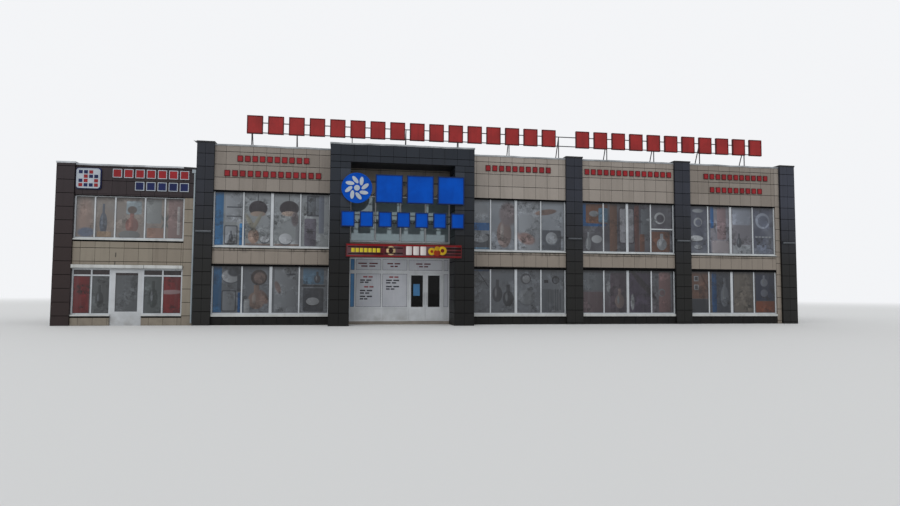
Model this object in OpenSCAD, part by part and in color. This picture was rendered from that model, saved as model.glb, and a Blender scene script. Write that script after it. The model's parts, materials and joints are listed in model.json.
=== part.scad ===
// Two-storey supermarket building with a lower shop wing on its left.
// Lengths are millimetres. The front faces -Y, +X runs to the right, +Z is up.
// Sizes along the front are written from the left edge of the main block.

/* [Main block] */
// Depth from the front faces of the front pilasters to the back faces of the back ones
main_d = 12000; // [9000:100:18000]
// Height of the pilasters below their coping
pilaster_h = 8420; // [8400:10:9400]
// Width of every pilaster but the first front one
pilaster_w = 850; // [600:10:1100]
// Width of the first front pilaster, beside the wing
pilaster_1_w = 750; // [600:10:1100]
// Depth of every pilaster, which is also the inner face of the outer walls
pilaster_d = 500; // [460:10:700]
// How far the wall panels lie behind the pilaster faces
panel_in = 120; // [60:10:160]
// Clear width of the first front bay
bay_1_w = 5300; // [4400:10:6000]
// Clear width of the second front bay, right of the portal
bay_2_w = 4940; // [4400:10:6000]
// Clear width of the third front bay
bay_3_w = 5050; // [4400:10:6000]
// Width of the windows of the fourth front bay
bay_4_w = 4960; // [4400:10:6000]
// Width of the clad strip between the last windows and the corner pilaster
strip_w = 260; // [150:10:500]
// Number of bays along the back
back_bays = 5; // [4:1:6]
// Number of bays along the right side
side_bays = 2; // [2:1:3]
// Thickness of the plain wall between the main block and the wing
party_t = 380; // [250:10:500]

/* [Heights of the main block] */
// Top of the dark plinth
plinth_top = 370; // [250:10:450]
// Height of the deep sill under the lower windows
low_sill_h = 130; // [100:10:250]
// Head of the lower windows
low_head = 2780; // [2600:10:2900]
// Underside of the sill of the upper windows
high_sill = 3550; // [3430:10:3600]
// Height of the sill of the upper windows
high_sill_h = 60; // [40:10:160]
// Head of the upper windows
high_head = 6220; // [5800:10:6500]
// Top of the parapet panels, below their coping
parapet_top = 8330; // [8000:10:8380]
// Top of the ground floor slab
floor_top = 150; // [100:10:200]
// Underside of the upper floor slab
upper_floor_z = 3100; // [2950:10:3130]
// Thickness of the upper floor slab
upper_floor_t = 300; // [200:10:300]
// Thickness of the roof slab
roof_t = 250; // [150:10:350]
// Thickness of the sheet metal copings
coping_t = 40; // [20:5:60]
// Overhang of the copings
coping_out = 30; // [10:5:60]

/* [Windows] */
// Width of one pane, centre to centre of the mullions
pane_w = 1290; // [1000:10:1400]
// How much wider the last pane of the first front bay is, beside the portal
last_pane_extra = 90; // [0:10:200]
// Width of the outer bars of a window frame
frame_bar = 65; // [40:5:100]
// Width of a plain mullion
mullion_w = 65; // [40:5:100]
// Width of the wide mullion where two frames meet
wide_mullion_w = 130; // [100:5:200]
// Depth of a window frame
frame_t = 70; // [50:5:100]
// How far a frame lies behind the panel face
frame_in = 60; // [20:5:120]
// Thickness of the double glazing
glass_t = 30; // [20:2:40]
// Height of the transom of the opening sash over the upper sill
sash_z = 1260; // [800:10:1800]
// How far the sills stand out from the panels
sill_out = 40; // [10:5:60]

/* [Portal] */
// Width of the portal over both legs
portal_w = 6730; // [6000:10:7600]
// How far the portal stands out in front of the pilasters
portal_out = 1000; // [600:10:1500]
// Width of a portal leg
leg_w = 920; // [600:10:1200]
// Height of the soffit between the legs
soffit_z = 7550; // [7200:10:7700]
// Top of the portal below its coping
portal_top = 8390; // [8300:10:9300]
// Thickness of the wall and glazing at the back of the portal
recess_t = 200; // [150:10:300]
// Head of the tall glazing over the entrance
recess_head = 6220; // [5800:10:6500]
// Sill of the tall glazing over the entrance
recess_sill = 3950; // [3700:10:4200]
// Underside of the closed band over the shopfront
recess_band = 3200; // [3150:10:3400]

/* [Entrance] */
// Number of panes in the tall glazing
recess_panes = 4; // [3:1:5]
// Underside of the transom that runs across the shopfront
entry_transom_z = 2500; // [2300:10:2700]
// Height of that transom
entry_transom_h = 110; // [60:10:160]
// Width of the double door between its jambs
door_w = 1660; // [1400:10:1800]
// Distance from the right leg to the right jamb of the door
door_right_gap = 360; // [250:10:500]
// Width of the door jambs and shopfront posts
jamb_w = 70; // [50:5:100]
// Gap around each door leaf
leaf_gap = 6; // [5:1:10]
// Thickness of a door leaf
leaf_t = 50; // [40:2:60]
// Width of the stiles and top rail of a leaf
stile_w = 120; // [80:5:150]
// Height of the closed foot of a leaf and of the kick panels
kick_h = 620; // [300:10:800]
// Width of the narrow pane at the left leg
narrow_pane_w = 260; // [150:10:400]
// Radius of the round hinge barrels
barrel_r = 8; // [6:1:9]
// How far the hinge axis lies in front of a leaf
hinge_out = 15; // [14:1:20]

/* [Banner and blue sign] */
// Height of the banner box
banner_h = 620; // [400:10:800]
// Depth of the banner box
banner_t = 120; // [80:10:200]
// Underside of the banner box
banner_z = 3150; // [3000:10:3300]
// Distance from the left edge of the portal to the banner box
banner_in = 750; // [500:10:850]
// Distance from the banner box to the right edge of the portal
banner_right_in = 610; // [500:10:850]
// Thickness of the sign blocks on the portal
block_t = 120; // [80:10:200]
// Square section of the rails behind the blue sign
rail_s = 40; // [30:5:60]
// Diameter of the sign disc
disc_d = 1400; // [1000:10:1500]
// Height of the big sign blocks
big_block_h = 1320; // [1000:10:1400]
// Underside of the big sign blocks
big_block_z = 5660; // [5500:10:5700]
// Height of the small sign blocks
small_block_h = 720; // [500:10:800]
// Underside of the small sign blocks
small_block_z = 4530; // [4300:10:4600]

/* [Roof sign] */
// Height of the blocks of the roof sign
roof_block_h = 880; // [600:10:1100]
// Width of the blocks of the roof sign
roof_block_w = 740; // [500:10:800]
// Distance between the left edges of neighbouring blocks of the left group
roof_block_pitch = 972; // [900:2:1000]
// Distance between the left edges of neighbouring blocks of the right group
right_block_pitch = 989; // [900:1:1000]
// Depth of the blocks of the roof sign
roof_block_t = 120; // [80:10:200]
// Underside of the blocks of the roof sign
roof_block_z = 9050; // [8900:10:9600]
// Number of blocks in the long left group
left_blocks = 16; // [8:1:16]
// Number of blocks in the right group
right_blocks = 11; // [6:1:11]
// Start of the left group
left_group_x = 2070; // [1500:10:3000]
// Start of the right group
right_group_x = 18470; // [18000:10:19500]
// Square section of the posts and rails of the roof sign
roof_bar = 40; // [30:5:80]
// Height of the lower rail over the underside of the blocks
low_rail_up = 60; // [20:10:200]
// Height of the upper rail over the underside of the blocks
high_rail_up = 540; // [300:10:540]
// Distance from the left end of the rails to the end post
end_post_in = 200; // [100:10:1200]
// Distance from the left end of the rails to the first of the evenly spaced posts
first_post_in = 2300; // [1500:10:2600]
// Distance from the last post to the right end of the rails
last_post_in = 930; // [200:5:1500]
// Number of evenly spaced posts
even_posts = 10; // [6:1:12]
// Distance from the inner face of the parapet to the front of the roof sign
roof_sign_in = 100; // [50:10:800]
// How far the back stays of the posts reach
stay_run = 900; // [500:10:1500]

/* [Small signs and lights] */
// Height of the small red sign blocks
mini_h = 290; // [200:10:350]
// Width of the small red sign blocks
mini_w = 250; // [150:10:280]
// Distance between the left edges of neighbouring small blocks
mini_pitch = 345; // [300:5:365]
// The same in the upper row of the first bay, which is set closer
close_pitch = 335; // [300:5:400]
// How far the rows of the fourth bay lie to the right of its middle
fourth_rows_right = 210; // [0:10:250]
// Depth of the small sign blocks
mini_t = 60; // [30:5:100]
// Underside of the upper row of small blocks
mini_high_z = 7570; // [7300:10:7700]
// Underside of the lower row of small blocks
mini_low_z = 6870; // [6500:10:6950]
// Width of the light bars on the pilasters
light_w = 700; // [300:10:800]
// Height of the light bars
light_h = 100; // [60:10:150]
// Depth of the light bars
light_t = 110; // [60:10:160]
// Underside of the light bars
light_z = 4230; // [3800:10:4600]

/* [Wing] */
// Width of the wing
wing_w = 5900; // [5400:10:7000]
// Depth of the wing, from the front faces of the main pilasters
wing_d = 9000; // [7000:100:11500]
// Height of the wing walls below their coping
wing_h = 7190; // [6900:10:7500]
// Width of the corner column
wing_column_w = 750; // [500:10:900]
// How far the corner column lies behind the main pilaster faces
wing_column_in = 50; // [20:5:100]
// Width of the clad pier beside the main block
wing_pier_w = 500; // [400:10:800]
// Head of the upper windows of the wing
wing_high_head = 5820; // [5600:10:6100]
// Underside of the upper sill of the wing
wing_high_sill = 3760; // [3700:10:4000]
// Height of the upper sill of the wing
wing_sill_h = 110; // [60:10:160]
// Underside of the panel between the storeys of the wing
wing_low_head = 2700; // [2600:10:2850]
// Height of the shutter box over the lower windows
wing_box_h = 160; // [100:10:200]
// How far the shutter box stands out
wing_box_out = 130; // [60:10:200]
// Width of the middle pane of the upper windows
wing_mid_pane = 1260; // [1000:10:1500]
// Distance from the corner column to the door unit
wing_door_x = 1620; // [1200:10:1800]
// Width of the door unit
wing_door_w = 1320; // [1100:10:1500]
// Underside of the wing roof slab
wing_roof_z = 6250; // [6150:10:6500]
// Diameter of the rainwater pipe
pipe_d = 80; // [60:5:120]
// Distance from the main block to the middle of the rainwater pipe
pipe_in = 70; // [70:10:400]

/* [Sign layout] */
// Distance from the ends of the sign rails to the outer sign blocks
sign_edge = 50; // [0:5:150]
// Number of big blocks right of the disc
big_blocks = 3; // [2:1:4]
// Width of a big block
big_block_w = 1260; // [800:10:1300]
// Gap between big blocks
big_gap = 190; // [100:10:300]
// Number of small blocks in the lower row
small_blocks = 7; // [5:1:8]
// Width of a small block
small_block_w = 620; // [400:10:650]
// Height of the white plate on the wing
wing_plate_h = 960; // [600:10:1050]
// Width of the white plate on the wing
wing_plate_w = 1050; // [600:10:1200]
// Underside of the white plate on the wing
wing_plate_z = 6070; // [6000:10:6120]
// Height of the sign blocks on the wing
wing_block_h = 400; // [250:10:420]
// Width of the sign blocks on the wing
wing_block_w = 390; // [250:10:430]
// Distance between the left edges of the sign blocks on the wing
wing_row_pitch = 478; // [440:2:500]
// Distance from the main block to the rows of sign blocks on the wing
wing_row_in = 330; // [300:10:500]

/* [Hidden] */
// Small overlap that keeps cuts clean
eps = 1;
// Facets of the thin round pieces and of the sign disc
round_sides = 32;
disc_sides = 96;

// Places along the front, in order from the left edge of the main block
bay_1_x = pilaster_1_w;
portal_x = bay_1_x + bay_1_w;
bay_2_x = portal_x + portal_w;
pilaster_2_x = bay_2_x + bay_2_w;
bay_3_x = pilaster_2_x + pilaster_w;
pilaster_3_x = bay_3_x + bay_3_w;
bay_4_x = pilaster_3_x + pilaster_w;
strip_x = bay_4_x + bay_4_w;
pilaster_4_x = strip_x + strip_w;
main_w = pilaster_4_x + pilaster_w;

// A front pilaster is [x, width]
first_pilaster = [0, pilaster_1_w];
other_pilasters = [for (x = [pilaster_2_x, pilaster_3_x, pilaster_4_x]) [x, pilaster_w]];
front_row = concat([first_pilaster], other_pilasters);

// A bay is [x, y, turn, width]: its left end seen from outside, its turn and its width
front_bays = [
    [bay_1_x, 0, 0, bay_1_w],
    [bay_2_x, 0, 0, bay_2_w],
    [bay_3_x, 0, 0, bay_3_w],
    [bay_4_x, 0, 0, bay_4_w]
];
back_bay_w = (main_w - (back_bays + 1) * pilaster_w) / back_bays;
back_pitch = back_bay_w + pilaster_w;
back_walls = [for (i = [0 : back_bays - 1]) [main_w - pilaster_w - i * back_pitch, main_d, 180, back_bay_w]];
side_bay_w = (main_d - 2 * pilaster_d - (side_bays - 1) * pilaster_w) / side_bays;
side_pitch = side_bay_w + pilaster_w;
side_walls = [for (i = [0 : side_bays - 1]) [main_w, pilaster_d + i * side_pitch, 90, side_bay_w]];
main_bays = concat(front_bays, back_walls, side_walls);

coped_bays = concat(
    [for (bay = front_bays) bay[0] == bay_4_x ? [bay_4_x, 0, 0, bay_4_w + strip_w] : bay],
    back_walls, side_walls
);

// Windows narrower than this are left out beside a mullion
least_pane = 300;
every_pane = -2;
sash_bay = 2;

// Levels
low_sill_top = plinth_top + low_sill_h;
high_sill_top = high_sill + high_sill_h;
frame_y = panel_in + frame_in;
roof_top = soffit_z + roof_t;

// Wing, to the left of x = 0
wing_x = -wing_w;
wing_face_x = wing_x - wing_column_in;
wing_inner_x = wing_face_x + pilaster_d;
wing_column_rise = 60;
wing_column_h = wing_h + wing_column_rise;
wing_front_x = wing_x + wing_column_w;
wing_front_w = wing_w - wing_column_w - wing_pier_w;
wing_side_w = (wing_d - 2 * pilaster_d - wing_column_w) / 2;
wing_middle_y = pilaster_d + wing_side_w;
wing_sill_top = wing_high_sill + wing_sill_h;
wing_box_z = wing_low_head - wing_box_h;
wing_back_w = wing_w - wing_column_w;
wing_bays = [
    [wing_front_x, 0, 0, wing_front_w],
    [0, wing_d, 180, wing_back_w],
    [wing_face_x, wing_middle_y, -90, wing_side_w],
    [wing_face_x, wing_d - pilaster_d, -90, wing_side_w]
];
wing_low_bays = concat([
    [wing_front_x, 0, 0, wing_door_x],
    [wing_front_x + wing_door_x + wing_door_w, 0, 0, wing_front_w - wing_door_x - wing_door_w]
], [for (i = [1 : 3]) wing_bays[i]]);
wing_coped_bays = concat(
    [[wing_front_x, 0, 0, wing_w - wing_column_w]], [for (i = [1 : 3]) wing_bays[i]]
);
wing_door_bay = [wing_front_x + wing_door_x, 0, 0, wing_door_w];
wing_door_cell = [jamb_w + stile_w, kick_h, wing_door_w - jamb_w - stile_w, wing_box_z - jamb_w - stile_w];
wing_transom_drop = 310;
wing_column_boxes = [
    [[wing_x, wing_column_in], [wing_front_x, pilaster_d]],
    [[wing_x, wing_d - pilaster_d], [wing_front_x, wing_d - wing_column_in]],
    [[wing_x, wing_middle_y], [wing_inner_x, wing_middle_y + wing_column_w]]
];
wing_rows = [[7, wing_plate_z + wing_plate_h - wing_block_h], [5, wing_plate_z]];

// Entrance
entry_x0 = portal_x + leg_w;
entry_x1 = portal_x + portal_w - leg_w;
entry_w = entry_x1 - entry_x0;
entry_door_x1 = entry_w - door_right_gap;
entry_door_x0 = entry_door_x1 - door_w;
mid_post_x = (narrow_pane_w + entry_door_x0) / 2;
entry_y = pilaster_d;
leaf_w = (door_w - 3 * leaf_gap) / 2;
leaf_z0 = floor_top + leaf_gap;
leaf_z1 = entry_transom_z - leaf_gap;
leaf_in = 12;
leaf_y = entry_y + leaf_in;
leaf_glass_z0 = floor_top + kick_h + frame_bar;
leaf_glass_z1 = leaf_z1 - stile_w;
barrel_h = 80;
barrel_edge = 200;
barrel_zs = [leaf_z0 + barrel_edge, (leaf_z0 + leaf_z1 - barrel_h) / 2, leaf_z1 - barrel_edge - barrel_h];
pin_gap = 0.3;
knuckle_h = barrel_h / 2;
knuckle_plate_t = 5;
hinge_in = leaf_gap + barrel_r;
hinge_y = leaf_y - hinge_out;

// Signs
banner_w = portal_w - banner_in - banner_right_in;
brace_ratio = 1.15;
big_row_x = portal_w - leg_w - sign_edge - big_blocks * big_block_w - (big_blocks - 1) * big_gap;
big_pitch = big_block_w + big_gap;
small_pitch = (portal_w - leg_w - 2 * sign_edge - small_block_w) / (small_blocks - 1);
roof_sign_y = pilaster_d + roof_sign_in;
roof_rail_low = roof_block_z + low_rail_up;
roof_rail_high = roof_block_z + high_rail_up;
roof_rail_end = right_group_x + (right_blocks - 1) * right_block_pitch + roof_block_w;
roof_rail_w = roof_rail_end - left_group_x;
roof_post_pitch = (roof_rail_w - first_post_in - last_post_in - roof_bar) / (even_posts - 1);
roof_post_xs = concat([end_post_in], [for (i = [0 : even_posts - 1]) first_post_in + i * roof_post_pitch]);

// Rainwater pipe
pipe_wall_gap = 20;
pipe_y = panel_in - pipe_wall_gap - pipe_d / 2;
pipe_foot = 100;
hopper_drop = 240;
hopper_z = wing_h - hopper_drop;
hopper_h = 160;
hopper_w = 2 * pipe_d;
hopper_left = hopper_w - pipe_d / 2;
bracket_count = 4;
bracket_z = 700;
bracket_pitch = 1900;
bracket_h = 40;

// The origin is the middle of the footprint, on the ground
front_y = -portal_out - rail_s - block_t;
x_mid = (wing_x + main_w) / 2;
y_mid = (front_y + main_d + coping_out) / 2;

module centred() {
    translate([-x_mid, -y_mid, 0]) children();
}

// A block between two corners
module block(a, b) {
    translate(a) cube(b - a);
}

// Children drawn at a bay: x runs along the wall, y goes into it
module at_bay(bay) {
    translate([bay[0], bay[1], 0]) rotate([0, 0, bay[2]]) children();
}

// One wall panel in each bay, from z0 to z1
module bay_panels(bays, z0, z1) {
    for (bay = bays) at_bay(bay) block([0, panel_in, z0], [bay[3], pilaster_d, z1]);
}

// The floors of both storeys, with a notch for the legs and the back of the portal
module floor_slabs() {
    color("lightgray") centred() for (slab = [[0, floor_top], [upper_floor_z, upper_floor_t]])
        translate([0, 0, slab[0]]) {
            difference() {
                block([party_t, pilaster_d, 0], [main_w - pilaster_d, main_d - pilaster_d, slab[1]]);
                block([portal_x, pilaster_d - eps, -eps], [bay_2_x, entry_y + recess_t, slab[1] + eps]);
            }
            block([wing_inner_x, pilaster_d, 0], [0, wing_d - pilaster_d, slab[1]]);
        }
}

module roof_deck() {
    color("dimgray") centred() {
        block([party_t, pilaster_d, soffit_z], [main_w - pilaster_d, main_d - pilaster_d, roof_top]);
        block([wing_inner_x, pilaster_d, wing_roof_z], [0, wing_d - pilaster_d, wing_roof_z + roof_t]);
    }
}

module front_pilasters() {
    color("#34363f") centred() for (p = front_row)
        block([p[0], 0, 0], [p[0] + p[1], pilaster_d, pilaster_h]);
}

// Pilasters of the back and between the bays of the right side
module rear_pilasters() {
    color("#34363f") centred() {
        for (i = [0 : back_bays]) translate([i * back_pitch, main_d - pilaster_d, 0])
            cube([pilaster_w, pilaster_d, pilaster_h]);
        for (i = [1 : side_bays - 1]) translate([main_w - pilaster_d, pilaster_d + i * side_pitch - pilaster_w, 0])
            cube([pilaster_d, pilaster_w, pilaster_h]);
    }
}

module parapet_panels() {
    color("#8b847c") centred() bay_panels(main_bays, high_head, parapet_top);
}

module spandrel_panels() {
    color("#8b847c") centred() bay_panels(main_bays, low_head, high_sill);
}

module plinth_panels() {
    color("#2b2b2b") centred() bay_panels(main_bays, 0, plinth_top);
}

// Full height clad strips beside the corner pilaster and beside the wing windows
module wall_strips() {
    color("#8b847c") centred() {
        block([strip_x, panel_in, 0], [pilaster_4_x, pilaster_d, parapet_top]);
        block([-wing_pier_w, panel_in, 0], [0, pilaster_d, wing_high_head]);
    }
}

module party_wall() {
    color("#8b847c") centred()
        block([0, pilaster_d, 0], [party_t, main_d - pilaster_d, parapet_top]);
}

// A sill as deep as the wall, standing out a little in front of the panels
module sill(w, z0, z1) {
    block([0, panel_in - sill_out, z0], [w, pilaster_d, z1]);
}

module window_sills() {
    color("#b8bbc0") centred() {
        for (bay = main_bays) at_bay(bay) {
            sill(bay[3], plinth_top, low_sill_top);
            sill(bay[3], high_sill, high_sill_top);
        }
        for (bay = wing_bays) at_bay(bay) sill(bay[3], wing_high_sill, wing_sill_top);
        for (bay = wing_low_bays) at_bay(bay) sill(bay[3], plinth_top, plinth_top + wing_sill_h);
    }
}

// Mullions of a window as [centre, width], one pane apart, counted from its right end
function mullion_count(w) = floor((w - frame_bar - least_pane) / pane_w);
function mullions(w) = [
    for (i = [mullion_count(w) : -1 : 1]) [w - i * pane_w, i == 2 ? wide_mullion_w : mullion_w]
];

// Clear spans between the outer bars and the mullions
function spans(w, bars) = [
    for (i = [0 : len(bars)]) [
        i == 0 ? frame_bar : bars[i - 1][0] + bars[i - 1][1] / 2,
        i == len(bars) ? w - frame_bar : bars[i][0] - bars[i][1] / 2
    ]
];

// Clear panes [x0, z0, x1, z1]; one pane may be parted by a transom at height split_z
function panes(w, h, bars, split_pane = -1, split_z = 0) = [
    for (i = [0 : len(bars)]) let (s = spans(w, bars)[i]) each (
        i == split_pane || split_pane == every_pane
        ? [[s[0], frame_bar, s[1], split_z - mullion_w / 2],
           [s[0], split_z + mullion_w / 2, s[1], h - frame_bar]]
        : [[s[0], frame_bar, s[1], h - frame_bar]]
    )
];

module frame_of(w, h, cells) {
    difference() {
        cube([w, frame_t, h]);
        for (c = cells) block([c[0], -eps, c[1]], [c[2], frame_t + eps, c[3]]);
    }
}

module glass_of(cells) {
    for (c = cells)
        block([c[0], (frame_t - glass_t) / 2, c[1]], [c[2], (frame_t + glass_t) / 2, c[3]]);
}

// Width over which the mullions of a main bay are evenly spaced
function even_w(i) = main_bays[i][3] - (i == 0 ? last_pane_extra : 0);

// Panes of the main windows; the last pane of the third front bay has an opening sash
function upper_panes(i) = panes(
    main_bays[i][3], high_head - high_sill_top, mullions(even_w(i)),
    i == sash_bay ? mullion_count(main_bays[i][3]) : -1, sash_z
);
function lower_panes(i) = panes(main_bays[i][3], low_head - low_sill_top, mullions(even_w(i)));

// Children drawn in a window of the bay, with z = 0 on its sill
module in_window(bay, z) {
    at_bay(bay) translate([0, frame_y, z]) children();
}

module upper_window_frames() {
    color("#b8bbc0") centred() for (i = [0 : len(main_bays) - 1])
        in_window(main_bays[i], high_sill_top)
            frame_of(main_bays[i][3], high_head - high_sill_top, upper_panes(i));
}

module lower_window_frames() {
    color("#b8bbc0") centred() for (i = [0 : len(main_bays) - 1])
        in_window(main_bays[i], low_sill_top)
            frame_of(main_bays[i][3], low_head - low_sill_top, lower_panes(i));
}

module upper_window_glass() {
    color("#70757c") centred() for (i = [0 : len(main_bays) - 1])
        in_window(main_bays[i], high_sill_top) glass_of(upper_panes(i));
}

module lower_window_glass() {
    color("#70757c") centred() for (i = [0 : len(main_bays) - 1])
        in_window(main_bays[i], low_sill_top) glass_of(lower_panes(i));
}

module portal_legs() {
    color("#30323a") centred() for (x = [portal_x, entry_x1])
        block([x, -portal_out, 0], [x + leg_w, entry_y + recess_t, soffit_z]);
}

module portal_beam() {
    color("#30323a") centred()
        block([portal_x, -portal_out, soffit_z], [bay_2_x, pilaster_d, portal_top]);
}

// Closed parts of the recess: over the tall glazing, the band over the shopfront and its base
module recess_wall() {
    color("#6b655d") centred() for (z = [[recess_head, soffit_z], [recess_band, recess_sill], [0, floor_top]])
        block([entry_x0, entry_y, z[0]], [entry_x1, entry_y + recess_t, z[1]]);
}

// Clear cells of the shopfront as [x0, x1], measured from the left leg
entry_cells = [
    [jamb_w, narrow_pane_w],
    [narrow_pane_w + jamb_w, mid_post_x - jamb_w / 2],
    [mid_post_x + jamb_w / 2, entry_door_x0 - jamb_w],
    [entry_door_x1 + jamb_w, entry_w - jamb_w]
];
transom_strip_h = recess_band - entry_transom_z;
transom_panes = [
    for (c = concat(entry_cells, [[entry_door_x0, entry_door_x1]]))
        [c[0], entry_transom_h, c[1], transom_strip_h - frame_bar]
];
screen_h = entry_transom_z - floor_top;
shop_panes = [for (c = entry_cells) [c[0], kick_h + frame_bar, c[1], screen_h - frame_bar]];
kick_cells = [for (c = entry_cells) [c[0], frame_bar, c[1], kick_h]];
tall_h = recess_head - recess_sill;
tall_bars = [for (i = [1 : recess_panes - 1]) [i * entry_w / recess_panes, mullion_w]];
tall_panes = panes(entry_w, tall_h, tall_bars);

module in_recess(z) {
    translate([entry_x0, entry_y, z]) children();
}

// The tall glazing and the two shopfront screens beside the door, with the fixed hinge knuckles
module entrance_frame() {
    color("#a9acb1") centred() {
        in_recess(recess_sill) frame_of(entry_w, tall_h, tall_panes);
        in_recess(floor_top) difference() {
            frame_of(entry_w, screen_h, concat(shop_panes, kick_cells));
            block([entry_door_x0, -eps, -eps], [entry_door_x1, frame_t + eps, screen_h + eps]);
        }
        at_left_jamb() fixed_knuckles();
        at_right_jamb() fixed_knuckles();
    }
}

// The strip of panes over the door and the screens
module entrance_transom() {
    color("#a9acb1") centred() in_recess(entry_transom_z) frame_of(entry_w, transom_strip_h, transom_panes);
}

module entrance_glass() {
    color("#70757c") centred() {
        in_recess(recess_sill) glass_of(tall_panes);
        in_recess(entry_transom_z) glass_of(transom_panes);
        in_recess(floor_top) glass_of(shop_panes);
    }
}

module kick_panels() {
    color("#c9cbce") centred() in_recess(floor_top) glass_of(kick_cells);
}

// A door leaf that runs to the right from its jamb at x = 0, with its hinge barrels
module leaf() {
    difference() {
        block([leaf_gap, leaf_y, leaf_z0], [leaf_gap + leaf_w, leaf_y + leaf_t, leaf_z1]);
        block([leaf_gap + stile_w, leaf_y - eps, leaf_glass_z0],
              [leaf_gap + leaf_w - stile_w, leaf_y + leaf_t + eps, leaf_glass_z1]);
    }
    for (z = barrel_zs) translate([hinge_in, hinge_y, z]) {
        cylinder(r = barrel_r, h = barrel_h, $fn = round_sides);
        translate([-barrel_r, 0, 0]) cube([2 * barrel_r, hinge_out + eps, barrel_h]);
    }
}

// The fixed hinge knuckles over and under each barrel, on plates that lie on the jamb
module fixed_knuckles() {
    for (z = barrel_zs, low = [-pin_gap - knuckle_h, barrel_h + pin_gap]) translate([0, 0, z + low]) {
        translate([hinge_in, hinge_y, 0]) cylinder(r = barrel_r, h = knuckle_h, $fn = round_sides);
        block([-jamb_w / 2, entry_y - knuckle_plate_t, 0], [hinge_in, entry_y, knuckle_h]);
        block([-jamb_w / 2, entry_y - eps, 0], [0, entry_y + eps, knuckle_h]);
    }
}

module leaf_glass() {
    block([leaf_gap + stile_w, leaf_y + (leaf_t - glass_t) / 2, leaf_glass_z0],
          [leaf_gap + leaf_w - stile_w, leaf_y + (leaf_t + glass_t) / 2, leaf_glass_z1]);
}

module at_left_jamb() {
    translate([entry_x0 + entry_door_x0, 0, 0]) children();
}

module at_right_jamb() {
    translate([entry_x0 + entry_door_x1, 0, 0]) mirror([1, 0, 0]) children();
}

module left_leaf() {
    color("#a9acb1") centred() at_left_jamb() leaf();
}

module right_leaf() {
    color("#a9acb1") centred() at_right_jamb() leaf();
}

module left_leaf_glass() {
    color("#70757c") centred() at_left_jamb() leaf_glass();
}

module right_leaf_glass() {
    color("#70757c") centred() at_right_jamb() leaf_glass();
}

module banner_box() {
    color("#9a1c24") centred() translate([portal_x + banner_in, -portal_out - banner_t, banner_z])
        cube([banner_w, banner_t, banner_h]);
}

// A flat truss: two rails with zigzag bracing between their middles
module truss(w, z0, z1) {
    count = round(w / (z1 - z0) / brace_ratio);
    step = w / count;
    middles = [z0 + rail_s / 2, z1 + rail_s / 2];
    for (z = [z0, z1]) translate([0, 0, z]) cube([w, rail_s, rail_s]);
    translate([0, rail_s, 0]) rotate([90, 0, 0]) linear_extrude(rail_s) for (i = [0 : count - 1]) {
        from = middles[i % 2];
        to = middles[(i + 1) % 2];
        polygon([[i * step, from], [i * step + rail_s, from],
                 [(i + 1) * step, to], [(i + 1) * step - rail_s, to]]);
    }
}

module blue_sign_rails() {
    color("#2a2c30") centred() translate([portal_x + leg_w / 2, -portal_out - rail_s, 0]) {
        truss(portal_w - leg_w, big_block_z + big_block_h / 4, big_block_z + 3 * big_block_h / 4);
        truss(portal_w - leg_w, small_block_z + small_block_h / 4, small_block_z + 3 * small_block_h / 4);
    }
}

// A row of like blocks, hung on a face at y = 0 and standing out towards -Y
module block_row(count, pitch, size) {
    for (i = [0 : count - 1]) translate([i * pitch, -size[1], 0]) cube(size);
}

module blue_sign_blocks() {
    color("#0d47a1") centred() translate([portal_x + leg_w / 2, -portal_out - rail_s, 0]) {
        translate([disc_d / 2 + sign_edge, 0, big_block_z + big_block_h / 2]) rotate([90, 0, 0])
            cylinder(d = disc_d, h = block_t, $fn = disc_sides);
        translate([big_row_x, 0, big_block_z])
            block_row(big_blocks, big_pitch, [big_block_w, block_t, big_block_h]);
        translate([sign_edge, 0, small_block_z])
            block_row(small_blocks, small_pitch, [small_block_w, block_t, small_block_h]);
    }
}

// Children drawn at the carrier of the roof sign: x = 0 at its left end, y = 0 on the backs of the blocks
module on_carrier() {
    centred() translate([left_group_x, roof_sign_y + roof_block_t, 0]) children();
}

module roof_sign_rails() {
    color("#4a4c50") on_carrier() for (z = [roof_rail_low, roof_rail_high])
        translate([0, 0, z]) cube([roof_rail_w, roof_bar, roof_bar]);
}

// Posts that stand on the deck behind the rails
module roof_sign_posts() {
    color("#4a4c50") on_carrier() for (x = roof_post_xs)
        translate([x, roof_bar, roof_top]) cube([roof_bar, roof_bar, roof_rail_high + roof_bar - roof_top]);
}

// Stays that lean from the deck against the backs of the posts
module roof_sign_stays() {
    color("#4a4c50") on_carrier() for (x = roof_post_xs) translate([x, 0, 0])
        rotate([90, 0, 90]) linear_extrude(roof_bar) polygon([
            [2 * roof_bar, roof_rail_high], [2 * roof_bar, roof_rail_high - 2 * roof_bar],
            [stay_run - roof_bar, roof_top], [stay_run, roof_top]
        ]);
}

module roof_sign_blocks() {
    groups = [[left_group_x, left_blocks, roof_block_pitch], [right_group_x, right_blocks, right_block_pitch]];
    color("#9a2b2b") centred() for (g = groups) translate([g[0], roof_sign_y + roof_block_t, roof_block_z])
        block_row(g[1], g[2], [roof_block_w, roof_block_t, roof_block_h]);
}

// Rows of small blocks as [bay, number of blocks, pitch, distance from the bay's middle, underside]
small_rows = [
    [0, 10, close_pitch, 0, mini_high_z], [0, 13, mini_pitch, 0, mini_low_z],
    [1, 10, mini_pitch, 0, mini_high_z], [2, 14, mini_pitch, 0, mini_high_z],
    [3, 11, mini_pitch, fourth_rows_right, mini_high_z], [3, 9, mini_pitch, fourth_rows_right, mini_low_z]
];

module wall_sign_blocks() {
    color("#95222a") centred() for (r = small_rows) let (bay = front_bays[r[0]])
        translate([bay[0] + (bay[3] - (r[1] - 1) * r[2] - mini_w) / 2 + r[3], panel_in, r[4]])
            block_row(r[1], r[2], [mini_w, mini_t, mini_h]);
}

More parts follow.
